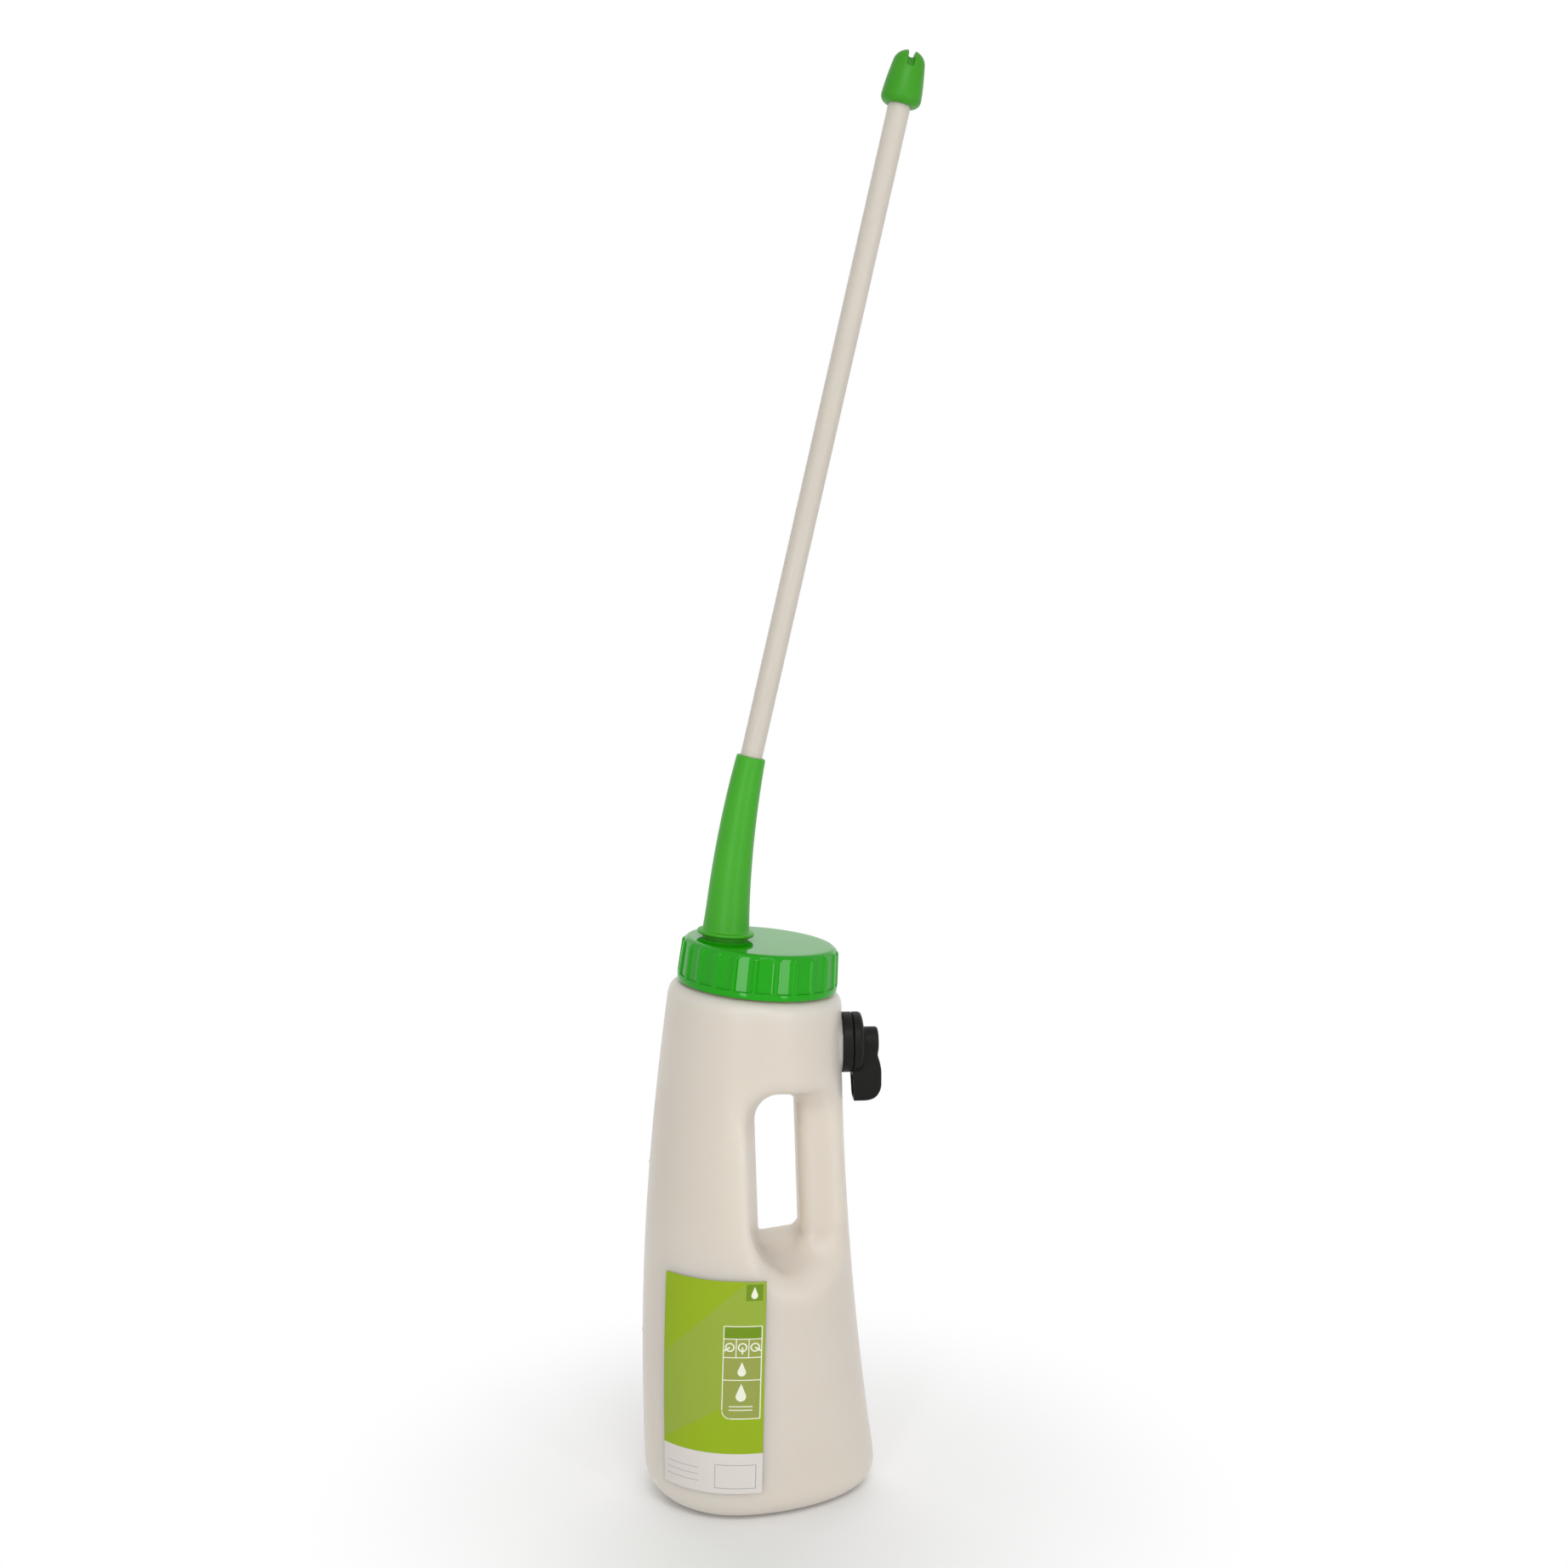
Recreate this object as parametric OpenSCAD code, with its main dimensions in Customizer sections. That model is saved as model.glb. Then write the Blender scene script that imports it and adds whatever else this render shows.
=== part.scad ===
// Livestock drencher: a hand-held feeding bottle with a grip through its side,
// a screw cap that carries a curved spout, a long feeding tube with a rounded
// probe tip, and a rotary air valve behind the neck.
// Millimetres. The origin is the middle of the overall box on the standing plane,
// +Z is up, the grip and the air valve are on the +X side.

/* [Bottle body] */
// Height of the shoulder at the middle of the neck
body_height = 311.5; // [280:0.5:350]
// Reach of the body in front of the neck at the base
base_front = 67.8; // [60:0.2:76]
// Reach of the body behind the neck at the base
base_back = 73.8; // [64:0.2:80]
// Width of the body across the base
base_width = 110; // [102:1:122]
// Reach of the body in front of the neck at the shoulder
shoulder_front = 51.8; // [50:0.2:57]
// Reach of the body behind the neck at the shoulder
shoulder_back = 50.6; // [49.6:0.2:55]
// Width of the body across the shoulder
shoulder_width = 103; // [101:1:110]
// Forward swell of the front at half height
belly = 4; // [0:0.2:6]
// How square the front of the base is, where 2 is an oval
front_squareness = 2; // [1.8:0.05:3]
// How square the back of the base is, where 2 is an oval
back_squareness = 1.85; // [1.8:0.05:3]
// How far in front of the neck the base is widest
widest_forward = 12.5; // [0:0.5:20]
// Rounding of the base edge
base_round = 19; // [8:1:21]
// Rounding of the shoulder edge
shoulder_round = 7.5; // [3:0.5:8]
// Thickness of the blown wall
wall = 2.2; // [1.6:0.1:3]
// Radius of the dished underside
dish_radius = 30; // [20:1:34]
// Depth of the dished underside
dish_depth = 3.5; // [1:0.5:6]

/* [Neck] */
// Lean of the neck towards the grip, in degrees
neck_lean = 5.2; // [0:0.1:7]
// Outer diameter of the neck
neck_diameter = 83.2; // [78:0.2:86]
// Diameter of the neck bore
neck_bore = 77.5; // [72:0.5:78.5]
// Rise of the thread in one turn
thread_pitch = 4; // [3.5:0.1:5]
// Turns of the thread on the neck and in the cap
thread_turns = 1.25; // [0.75:0.25:1.5]
// Height of the thread's ridge
thread_depth = 1.2; // [0.8:0.1:1.4]
// Width of the thread's ridge at its foot
thread_width = 1.8; // [1.2:0.1:2]

/* [Grip] */
// Front edge of the hand hole
grip_front = -1.2; // [-8:0.2:4]
// Back edge of the hand hole, the front of the handle
grip_back = 23.8; // [21:0.2:31]
// Distance of the hand hole's top below the shoulder
grip_drop = 64.5; // [58:0.5:80]
// Height of the hand hole at mid width
grip_height = 89; // [76:0.5:100]
// Rise of the hand hole's floor towards the handle
grip_rise = 3.6; // [0:0.2:6]
// Forward slant of the hand hole over its height
grip_slant = 2.8; // [0:0.2:4]
// Width of the handle, side to side
handle_width = 40; // [30:1:42]
// Rounding of the handle and of the hole's edges
handle_round = 9.5; // [5:0.5:12]
// Radius of the hand hole's upper front corner
grip_crown = 15; // [8:0.5:18]
// Radius of the hand hole's other corners
grip_corner = 3.5; // [2:0.5:8]
// How far the side scoop widens forward
scoop_forward = 6.5; // [2:0.5:10]
// How far the side scoop widens upward
scoop_up = 7; // [4:1:20]
// How far the side scoop widens downward
scoop_down = 16; // [6:1:26]

/* [Screw cap] */
// Diameter of the cap at its lower band
cap_diameter = 95.5; // [92:0.5:99]
// Height of the cap
cap_height = 25.8; // [21:0.1:32]
// Thickness of the cap's top
cap_top = 2.5; // [1.8:0.1:3.5]
// Height of the plain band at the rim
cap_band = 3.8; // [2:0.1:6]
// Draft of the cap's side, in millimetres of radius
cap_draft = 1.1; // [0:0.1:2]
// Number of finger ribs
rib_count = 24; // [12:1:36]
// Width of one finger rib
rib_width = 2.8; // [1.5:0.1:4]
// Depth of the panels between the ribs
rib_depth = 1.2; // [0.5:0.1:1.6]
// Turn of the first finger rib from the grip's side, in degrees
rib_turn = 9; // [0:0.5:30]
// Rounding of the cap's upper edge
cap_round = 3.4; // [1:0.1:5]
// Thickness of the sealing gasket under the cap
gasket_thickness = 1.6; // [1:0.1:3]

/* [Spout] */
// Distance of the spout in front of the cap's middle
spout_offset = 21.2; // [17:0.2:21.8]
// Length of the spout above the cap, along its curve
spout_length = 109; // [85:1:138]
// Diameter of the spout at its foot
spout_foot = 27.4; // [23:0.2:30]
// Diameter of the spout at its mouth
spout_mouth = 17.2; // [17:0.2:21]
// Straight share of the spout before it bends
spout_straight = 0.2; // [0:0.05:0.5]
// Diameter of the bead above the cap
bead_diameter = 34; // [32:0.5:36]
// Height of the bead
bead_height = 2.4; // [1.5:0.1:4]
// Height of the bead's underside above the cap
bead_lift = 2.2; // [0:0.1:4]
// Diameter of the hole in the cap
spout_hole = 23.5; // [21:0.5:25]
// Diameter of the liquid passage in the spout's foot
spout_passage = 17; // [13:0.5:19]

/* [Feeding tube and probe tip] */
// Lean of the feeding tube towards the grip, in degrees
tube_lean = 12.9; // [8:0.1:16]
// Outer diameter of the feeding tube
tube_diameter = 13; // [12.2:0.1:13.8]
// Bore of the feeding tube
tube_bore = 9.5; // [7.5:0.1:10.2]
// Length of feeding tube between spout and tip
tube_visible = 380; // [260:1:480]
// Depth of tube inside the spout
tube_in_spout = 30; // [21:1:38]
// Depth of tube inside the tip
tube_in_tip = 17; // [12:1:19]
// Length of the probe tip
tip_length = 30.8; // [30:0.2:40]
// Largest diameter of the probe tip
tip_diameter = 23.2; // [21:0.2:26]
// Diameter of the probe tip towards its end
tip_end = 18.4; // [16.6:0.2:20]
// Diameter of the outlet at the tip's end
tip_outlet = 4.8; // [3:0.1:6]
// Width of the relief slot across the tip
slot_width = 4; // [2:0.1:4.8]
// Depth of the relief slot at the tip's middle
slot_depth = 3.6; // [2:0.1:4]
// Length of the relief slot down the tip's sides
slot_side = 10; // [6:0.5:11.5]
// Turn of the relief slot about the tube, in degrees
slot_turn = 92; // [0:1:180]

/* [Air valve] */
// Distance of the valve's axis below the shoulder
valve_drop = 36; // [30:0.5:42]
// Diameter of the collar and of the knob's flange
valve_diameter = 36; // [33:0.2:38]
// Length of the collar along the valve's axis
collar_length = 6.3; // [5.2:0.1:7.4]
// Diameter of the side neck that the collar screws onto
side_neck = 25.5; // [21:0.5:27]
// Bore of the side neck
side_bore = 18; // [14:0.5:20]
// Thickness of the valve gasket
valve_gasket_thickness = 0.8; // [0.5:0.1:1.2]
// Diameter of the spindle that the knob turns on
spindle_diameter = 10.6; // [8:0.2:11.4]
// Length of the spindle beyond the collar
spindle_length = 11.2; // [10:0.1:12]
// Diameter of the spindle's air passage
air_bore = 4.2; // [2.5:0.1:5]
// Thickness of the spindle's sealing rings
ring_thickness = 1.9; // [1.4:0.1:2.1]
// Thickness of the knob's flange at its edge
flange_thickness = 4.1; // [3:0.1:5]
// Slope of the knob's flange towards the hub, along the axis
flange_slope = 2.6; // [1:0.1:4]
// Width of the lever and its hub
lever_width = 17.4; // [16:0.2:19]
// Length of the lever below the valve's axis
lever_length = 35.4; // [30:0.2:42]
// Height of the hub above the collar
hub_height = 15.7; // [14:0.1:17]
// Height of the lever's thumb swell above the collar
thumb_height = 17.6; // [16:0.1:19.6]
// Wall of the hollow lever
lever_wall = 1.9; // [1.4:0.1:2.4]

/* [Label] */
// Front edge of the label, as a turn about the body's middle
label_start = 218; // [210:1:230]
// Back edge of the label, as a turn about the body's middle
label_end = 279; // [262:1:285]
// Lower edge of the label
label_bottom = 21; // [18:0.5:30]
// Upper edge of the label
label_top = 148.5; // [116:0.5:152]
// Thickness of the label
label_thickness = 0.3; // [0.2:0.05:0.5]

/* [Clearances] */
// Gap between the cap's skirt and the neck
thread_gap = 1.6; // [1.5:0.1:2]
// Gap between the cap's rim and the shoulder
rim_gap = 0.8; // [0.4:0.1:1.5]
// Radial gap of push-fitted pieces
fit_gap = 0.05; // [0.02:0.01:0.1]
// Gap between the turning knob and the fixed collar
knob_gap = 0.4; // [0.3:0.05:0.8]
// Gap between the collar and the bottle's pad
pad_gap = 0.3; // [0.1:0.1:0.6]
// Gap between the label and the bottle
label_gap = 0.08; // [0.05:0.01:0.15]

/* [Hidden] */
$fn = 64;

ivory = [0.87, 0.84, 0.78];
cap_green = [0.10, 0.62, 0.12];
spout_green = [0.28, 0.64, 0.18];
tip_green = [0.25, 0.60, 0.17];
valve_black = [0.12, 0.12, 0.11];
seal_grey = [0.30, 0.30, 0.32];
label_green = [0.55, 0.66, 0.16];

// Facets round the body, round the hand hole's outline and along a curve
body_sides = 48;
body_steps = 22;
round_steps = 5;
corner_steps = 5;
spout_sides = 32;
spout_steps = 14;
label_rows = 10;
label_columns = 14;
// Distance of the origin behind the middle of the neck's foot
origin_back = 13.4;
// Overrun of a cutting tool past the face that it cuts
past = 1;
// Powers that draw in the front and flare the back towards the base
front_power = 1.9;
back_power = 2.15;
// Height share over which the sections tip over into the neck's lean
lean_from = 0.35;

// Neck frame: the origin is the shoulder's middle, +Z along the neck
neck_radius = neck_diameter / 2;
gasket_seat = rim_gap + cap_height - cap_top - gasket_thickness;
cap_crown = rim_gap + cap_height;
cap_under = cap_crown - cap_top;
cap_radius = cap_diameter / 2;
cap_bore = neck_radius + thread_gap;
spout_flange = 2;
thread_steps = 45;
thread_fade = 5;
neck_thread = gasket_seat - thread_pitch * (thread_turns + 0.75);
cap_thread = neck_thread - thread_pitch / 2;

// Air valve frame: the origin is on the bottle's flat seat, +Z along the valve's axis
valve_height = body_height - valve_drop;
pad_sunk = 0.6;
pad_room = 0.6;
pad_face = back_at(valve_height) - pad_sunk;
pad_radius = valve_diameter / 2;
collar_floor = 1.6;
stub_length = collar_length - valve_gasket_thickness - collar_floor;
spindle_end = collar_length + spindle_length;
ring_edge = 2.5;
ring_heights = [collar_length + ring_edge, spindle_end - ring_edge];
groove_width = ring_thickness + 2 * fit_gap;
port_height = collar_length + spindle_length / 2;
port_diameter = 2.5;
lever_round = 11;
lever_rise = 2.1;
lever_skirt = 0.8;

// Feeding tube frame: the origin is the middle of the spout's mouth, +Z along the tube
mouth = spout_point(1);

function mix(a, b, s) = a + (b - a) * s;
function ease(s) = s <= 0 ? 0 : s >= 1 ? 1 : s * s * (3 - 2 * s);
function share(z) = min(1, max(0, z / body_height));

// Reach of the body to the front, to the back and to either side at height z
function front_at(z) = mix(base_front, shoulder_front, pow(share(z), front_power))
                       + belly * sin(180 * share(z));
function back_at(z) = mix(shoulder_back, base_back, pow(1 - share(z), back_power));
function half_at(z) = mix(base_width, shoulder_width, share(z)) / 2;
// The widest place lies a little forward at the base and in the middle at the neck
function widest_at(z) = mix(-widest_forward, 0, share(z));
function power_at(z, square) = 2 / mix(square, 2, share(z));
function lean_at(z) = neck_lean * ease((share(z) - lean_from) / (1 - lean_from));

function signed_pow(v, p) = sign(v) * pow(abs(v), p);

// A point of the body's skin, drawn in by inset, at height z and at a turn about the middle
function skin_point(z, inset, turn) =
    let (mid = widest_at(z),
         behind = cos(turn) > 0,
         power = power_at(z, behind ? back_squareness : front_squareness),
         reach = (behind ? back_at(z) - mid : front_at(z) + mid) - inset,
         x = mid + reach * signed_pow(cos(turn), power),
         y = (half_at(z) - inset) * signed_pow(sin(turn), power))
    [x * cos(lean_at(z)), y, z - x * sin(lean_at(z))];

// Heights and insets of the rings from base to shoulder, for a skin drawn in by depth
function skin_rings(depth) =
    let (low = base_round - depth, high = max(1, shoulder_round - depth))
    concat(
        [for (k = [0 : round_steps])
            let (a = 90 * k / round_steps)
            [depth + low * (1 - cos(a)), depth + low * (1 - sin(a))]],
        [for (k = [1 : body_steps - 1])
            [mix(base_round, body_height - depth - high, k / body_steps), depth]],
        [for (k = [0 : round_steps])
            let (a = 90 * k / round_steps)
            [body_height - depth - high * (1 - sin(a)), depth + high * (1 - cos(a))]]);

// A closed solid through rings of equal length, each a list of points
module loft(rings) {
    n = len(rings[0]);
    last = len(rings) - 1;
    polyhedron(
        points = [for (ring = rings) for (p = ring) p],
        faces = concat(
            [for (i = [0 : last - 1]) for (j = [0 : n - 1])
                let (a = i * n + j, b = i * n + (j + 1) % n)
                each [[a, a + n, b], [b, a + n, b + n]]],
            [[for (j = [0 : n - 1]) j]],
            [[for (j = [n - 1 : -1 : 0]) last * n + j]]));
}

// The body as a solid, drawn in by depth
module body_form(depth) {
    loft([for (r = skin_rings(depth))
        [for (j = [0 : body_sides - 1]) skin_point(r[0], r[1], 360 * j / body_sides)]]);
}

// Outline of the hand hole in the X and Z plane with rounded corners, at one side distance
function corner(x, z, r, from) =
    [for (k = [0 : corner_steps])
        let (a = from + 90 * k / corner_steps)
        [x + r * cos(a), z + r * sin(a)]];
function outline(x0, x1, z0, z1, crown, r) =
    concat(corner(x1 - r, z1 - r, r, 0), corner(x0 + crown, z1 - crown, crown, 90),
           corner(x0 + r, z0 + r, r, 180), [[min(x1 - 2 * r, grip_back), z0]],
           corner(x1 - r, z0 + r, r, 270));
// The outline leans forward with height, and its lower half rises towards the handle
function slanted(p) =
    let (high = (p[1] - grip_bottom) / grip_height,
         back = min(1, max(0, (p[0] - grip_front) / (grip_back - grip_front))))
    [p[0] - grip_slant * (high - 0.5),
     p[1] + grip_rise * (back - 0.5) * (1 - ease(high))];

grip_top = body_height - grip_drop;
grip_bottom = grip_top - grip_height;
handle_half = handle_width / 2;
// Side distances of the outlines: round the handle's edge, then out through the scoop
scoop_steps = 5;
scoop_reach = base_width / 2;
side_open = base_back + scoop_reach;
function edge_turn(v) = asin(min(1, max(0, (v - handle_half + handle_round) / handle_round)));
function edge_flare(v) = handle_round * (1 - cos(edge_turn(v)));
function scoop_share(v) = ease((v - handle_half / 2) / (scoop_reach - handle_half / 2));
function grip_outline(v, grow) =
    let (out = v > handle_half,
         flare = edge_flare(v) / 3,
         x0 = grip_front - scoop_forward * scoop_share(v) - grow,
         x1 = out ? side_open : grip_back + edge_flare(v) + grow,
         z0 = grip_bottom - scoop_down * scoop_share(v) - flare - grow,
         z1 = grip_top + scoop_up * scoop_share(v) + flare + grow)
    [for (p = outline(x0, x1, z0, z1, grip_crown + grow, grip_corner + grow)) slanted(p)];
side_levels = concat(
    [for (k = [0 : round_steps]) handle_half - handle_round * (1 - sin(90 * k / round_steps))],
    [for (k = [0 : scoop_steps]) handle_half + 0.4 + (scoop_reach - handle_half) * k / scoop_steps],
    [scoop_reach + 20]);

// The hand hole with its side scoops, grown on every side by grow
module grip_form(grow) {
    sides = [for (v = side_levels) if (v > grow + 0.5) v];
    levels = concat([for (k = [len(sides) - 1 : -1 : 0]) [grow - sides[k], sides[k]]],
                    [[0, grow]],
                    [for (v = sides) [v - grow, v]]);
    loft([for (l = levels) [for (p = grip_outline(l[1], grow)) [p[0], -l[0], p[1]]]]);
}

module at_neck() {
    translate([0, 0, body_height]) rotate([0, neck_lean, 0]) children();
}

module at_valve() {
    translate([pad_face, 0, valve_height]) rotate([0, 90, 0]) children();
}

module at_tube() {
    translate(mouth) rotate([0, tube_lean, 0]) children();
}

// A ring or tube from height z, with a bore
module ring(outer, inner, z, height) {
    translate([0, 0, z]) difference() {
        cylinder(r = outer, h = height);
        translate([0, 0, -past]) cylinder(r = inner, h = height + 2 * past);
    }
}

// Thread ridge that rises from height z, on a wall of radius foot, out or in to radius crest
module thread(foot, crest, z) {
    rooted = foot + sign(foot - crest) * thread_width / 4;
    loft([for (k = [0 : thread_steps])
        let (turn = 360 * thread_turns * k / thread_steps,
             height = z + thread_pitch * thread_turns * k / thread_steps,
             fade = min(1, k / thread_fade, (thread_steps - k) / thread_fade),
             edge = mix(foot, crest, fade),
             broad = [rooted, thread_width / 2],
             narrow = [edge, thread_width / 4],
             low = foot < crest ? broad : narrow,
             high = foot < crest ? narrow : broad)
        [for (p = [[low[0], -low[1]], low, high, [high[0], -high[1]]])
            [p[0] * cos(turn), p[0] * sin(turn), height + p[1]]]]);
}

// Round dish of the underside, grown by grow
module dish(grow) {
    translate([0, 0, -past])
        cylinder(r1 = dish_radius + grow + past, r2 = dish_radius + grow - dish_depth,
                 h = dish_depth + grow + past);
}

// Blown bottle: one hollow wall with a grip, a neck and a flat seat with a side neck
module bottle() {
    color(ivory) difference() {
        union() {
            difference() {
                body_form(0);
                grip_form(0);
                at_valve() cylinder(r = pad_radius + pad_room, h = valve_diameter / 4);
            }
            at_neck() translate([0, 0, -shoulder_round])
                cylinder(r = neck_radius, h = gasket_seat + shoulder_round);
            at_neck() thread(neck_radius, neck_radius + thread_depth, neck_thread);
            at_valve() translate([0, 0, -valve_diameter / 4])
                cylinder(r = pad_radius, h = valve_diameter / 4);
            at_valve() translate([0, 0, -past])
                cylinder(d = side_neck, h = stub_length + past);
        }
        difference() {
            body_form(wall);
            grip_form(wall);
            dish(wall);
        }
        at_neck() translate([0, 0, -shoulder_round - 2 * wall])
            cylinder(d = neck_bore, h = gasket_seat + shoulder_round + 2 * wall + past);
        at_valve() translate([0, 0, -valve_diameter / 2])
            cylinder(d = side_bore, h = valve_diameter / 2 + stub_length + past);
        dish(0);
    }
}

// Thin sheet between two grids of points, each a list of rows
module sheet(outer, inner) {
    rows = len(outer) - 1;
    cols = len(outer[0]) - 1;
    half = (rows + 1) * (cols + 1);
    function at(i, j) = i * (cols + 1) + j;
    function quad(a, b, c, d) = [[a, b, c], [a, c, d]];
    polyhedron(
        points = concat([for (row = outer) for (p = row) p], [for (row = inner) for (p = row) p]),
        faces = concat(
            [for (i = [0 : rows - 1]) for (j = [0 : cols - 1])
                each quad(at(i, j), at(i + 1, j), at(i + 1, j + 1), at(i, j + 1))],
            [for (i = [0 : rows - 1]) for (j = [0 : cols - 1])
                each quad(half + at(i, j), half + at(i, j + 1),
                          half + at(i + 1, j + 1), half + at(i + 1, j))],
            [for (j = [0 : cols - 1])
                each quad(at(0, j), at(0, j + 1), half + at(0, j + 1), half + at(0, j))],
            [for (j = [0 : cols - 1])
                each quad(half + at(rows, j), half + at(rows, j + 1), at(rows, j + 1), at(rows, j))],
            [for (i = [0 : rows - 1])
                each quad(half + at(i, 0), half + at(i + 1, 0), at(i + 1, 0), at(i, 0))],
            [for (i = [0 : rows - 1])
                each quad(at(i, cols), at(i + 1, cols), half + at(i + 1, cols), half + at(i, cols))]));
}

function label_grid(out) =
    [for (i = [0 : label_rows])
        [for (j = [0 : label_columns])
            skin_point(mix(label_bottom, label_top, i / label_rows), -out,
                       mix(label_start, label_end, j / label_columns))]];

// Printed label on the bottle's side
module label() {
    color(label_green) sheet(label_grid(label_gap + label_thickness), label_grid(label_gap));
}

// Quarter arc of radius r about a centre, from one angle on
function arc(x, y, r, from, turn) =
    [for (k = [0 : round_steps])
        let (a = from + turn * k / round_steps)
        [x + r * cos(a), y + r * sin(a)]];

// Screw cap with finger ribs and a hole for the spout
module screw_cap() {
    panel_foot = rim_gap + cap_band;
    panel_head = cap_crown - cap_round;
    top_radius = cap_radius - cap_draft;
    color(cap_green) at_neck() difference() {
        union() {
            thread(cap_bore, cap_bore - thread_depth, cap_thread);
            rotate_extrude() polygon(concat(
                [[0, cap_crown], [0, cap_under], [cap_bore, cap_under], [cap_bore, rim_gap],
                 [cap_radius, rim_gap], [cap_radius, panel_foot],
                 [cap_radius - rib_depth, panel_foot]],
                arc(top_radius - rib_depth - cap_round, panel_head, cap_round, 0, 90)));
            for (k = [0 : rib_count - 1]) rotate(rib_turn + 360 * k / rib_count)
                rotate([90, 0, 0]) linear_extrude(rib_width, center = true) polygon(concat(
                    [[cap_bore + past, panel_head], [cap_bore + past, panel_foot - past],
                     [cap_radius - past, panel_foot - past], [cap_radius - rib_depth / 4, panel_foot]],
                    arc(top_radius - cap_round, panel_head - rib_depth, cap_round, 0, 60)));
        }
        translate([-spout_offset, 0, cap_under - past])
            cylinder(d = spout_hole, h = cap_top + 2 * past);
    }
}

// Flat seal between the neck's lip and the cap
module cap_gasket() {
    color(seal_grey) at_neck() ring(neck_radius, neck_bore / 2, gasket_seat, gasket_thickness);
}

// A point of the neck's middle plane, and the spout's lean and middle line from foot to mouth
function neck_point(x, z) =
    [x * cos(neck_lean) + z * sin(neck_lean), 0, body_height - x * sin(neck_lean) + z * cos(neck_lean)];
function spout_lean(s) =
    mix(neck_lean, tube_lean, max(0, (s - spout_straight) / (1 - spout_straight)));
function spout_point(s) =
    let (run = min(s, spout_straight) * spout_length,
         start = neck_point(-spout_offset, cap_crown + run),
         bend = (1 - spout_straight) * spout_length * 180 / PI / (tube_lean - neck_lean))
    start + bend * [cos(neck_lean) - cos(spout_lean(s)), 0, sin(spout_lean(s)) - sin(neck_lean)];
function spout_ring(s, r) =
    let (p = spout_point(s), a = spout_lean(s))
    [for (j = [0 : spout_sides - 1])
        let (t = 360 * j / spout_sides)
        p + r * [cos(t) * cos(a), sin(t), -cos(t) * sin(a)]];

// Curved, tapered spout: a flange and a bead hold it in the cap, the tube pushes into its mouth
module spout() {
    flange = spout_hole / 2 + 3.2;
    lip = 0.8;
    color(spout_green) difference() {
        union() {
            loft(concat(
                [for (k = [0 : spout_steps])
                    let (s = k / spout_steps * (1 - lip / spout_length))
                    spout_ring(s, mix(spout_foot, spout_mouth, s) / 2)],
                [spout_ring(1, spout_mouth / 2 - lip)]));
            at_neck() translate([-spout_offset, 0, 0]) rotate_extrude() polygon(concat(
                [[0, cap_under - spout_flange], [flange, cap_under - spout_flange], [flange, cap_under],
                 [spout_hole / 2 - fit_gap, cap_under],
                 [spout_hole / 2 - fit_gap, cap_crown + bead_lift]],
                arc(bead_diameter / 2 - bead_height / 2, cap_crown + bead_lift + bead_height / 2,
                    bead_height / 2, -90, 180),
                [[0, cap_crown + bead_lift + bead_height]]));
        }
        at_neck() translate([-spout_offset, 0, cap_under - spout_flange - past])
            cylinder(d = spout_passage, h = cap_top + spout_flange + past + 0.42 * spout_length);
        at_tube() translate([0, 0, -tube_in_spout])
            cylinder(r = tube_diameter / 2 + fit_gap, h = tube_in_spout + past);
        at_tube() translate([0, 0, -0.68 * spout_length])
            cylinder(d = tube_bore, h = 0.68 * spout_length);
    }
}

// Stiff feeding tube
module feeding_tube() {
    color(ivory) at_tube() ring(tube_diameter / 2, tube_bore / 2, -tube_in_spout,
                                tube_in_spout + tube_visible + tube_in_tip);
}

// Rounded probe tip with an outlet and a relief slot across its end
module probe_tip() {
    foot_round = 4.5;
    end_round = 6.5;
    side = tip_end / 2;
    groove = tip_end / 2 - 1.6;
    color(tip_green) at_tube() translate([0, 0, tube_visible]) difference() {
        rotate_extrude() polygon(concat(
            [[0, 0]],
            arc(tip_diameter / 2 - foot_round, foot_round, foot_round, -90, 90),
            [[mix(tip_diameter / 2, side, 0.3), mix(foot_round, tip_length - end_round, 0.42)]],
            arc(side - end_round, tip_length - end_round, end_round, 0, 90),
            [[0, tip_length]]));
        translate([0, 0, -past]) cylinder(r = tube_diameter / 2 + fit_gap, h = tube_in_tip + past);
        cylinder(d = tip_outlet, h = tip_length + past);
        rotate([90, 0, slot_turn]) linear_extrude(slot_width, center = true) polygon([
            [-tip_diameter, tip_length + past], [-tip_diameter, tip_length - slot_side],
            [-groove, tip_length - slot_side], [-tip_outlet / 2, tip_length - slot_depth],
            [tip_outlet / 2, tip_length - slot_depth], [groove, tip_length - slot_side],
            [tip_diameter, tip_length - slot_side], [tip_diameter, tip_length + past]]);
    }
}

// Valve collar: a cup that screws onto the side neck, with the hollow spindle on its face
module valve_collar() {
    cup = side_neck / 2 + knob_gap;
    floor_under = collar_length - collar_floor;
    core = spindle_diameter / 2;
    color(valve_black) at_valve() difference() {
        rotate_extrude() polygon(concat(
            [[0, floor_under], [cup, floor_under], [cup, pad_gap], [pad_radius, pad_gap],
             [pad_radius, collar_length], [core, collar_length]],
            [for (c = ring_heights)
                each [[core, c - groove_width / 2], [core - groove_width, c - groove_width / 2],
                      [core - groove_width, c + groove_width / 2], [core, c + groove_width / 2]]],
            [[core, spindle_end], [0, spindle_end]]));
        translate([0, 0, floor_under - past]) cylinder(d = air_bore, h = port_height - floor_under + past);
        translate([0, 0, port_height]) rotate([0, 90, 0]) cylinder(d = port_diameter, h = spindle_diameter);
    }
}

// Flat seal between the side neck and the collar
module valve_gasket() {
    color(seal_grey) at_valve()
        ring(side_neck / 2, side_bore / 2, stub_length, valve_gasket_thickness);
}

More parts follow.
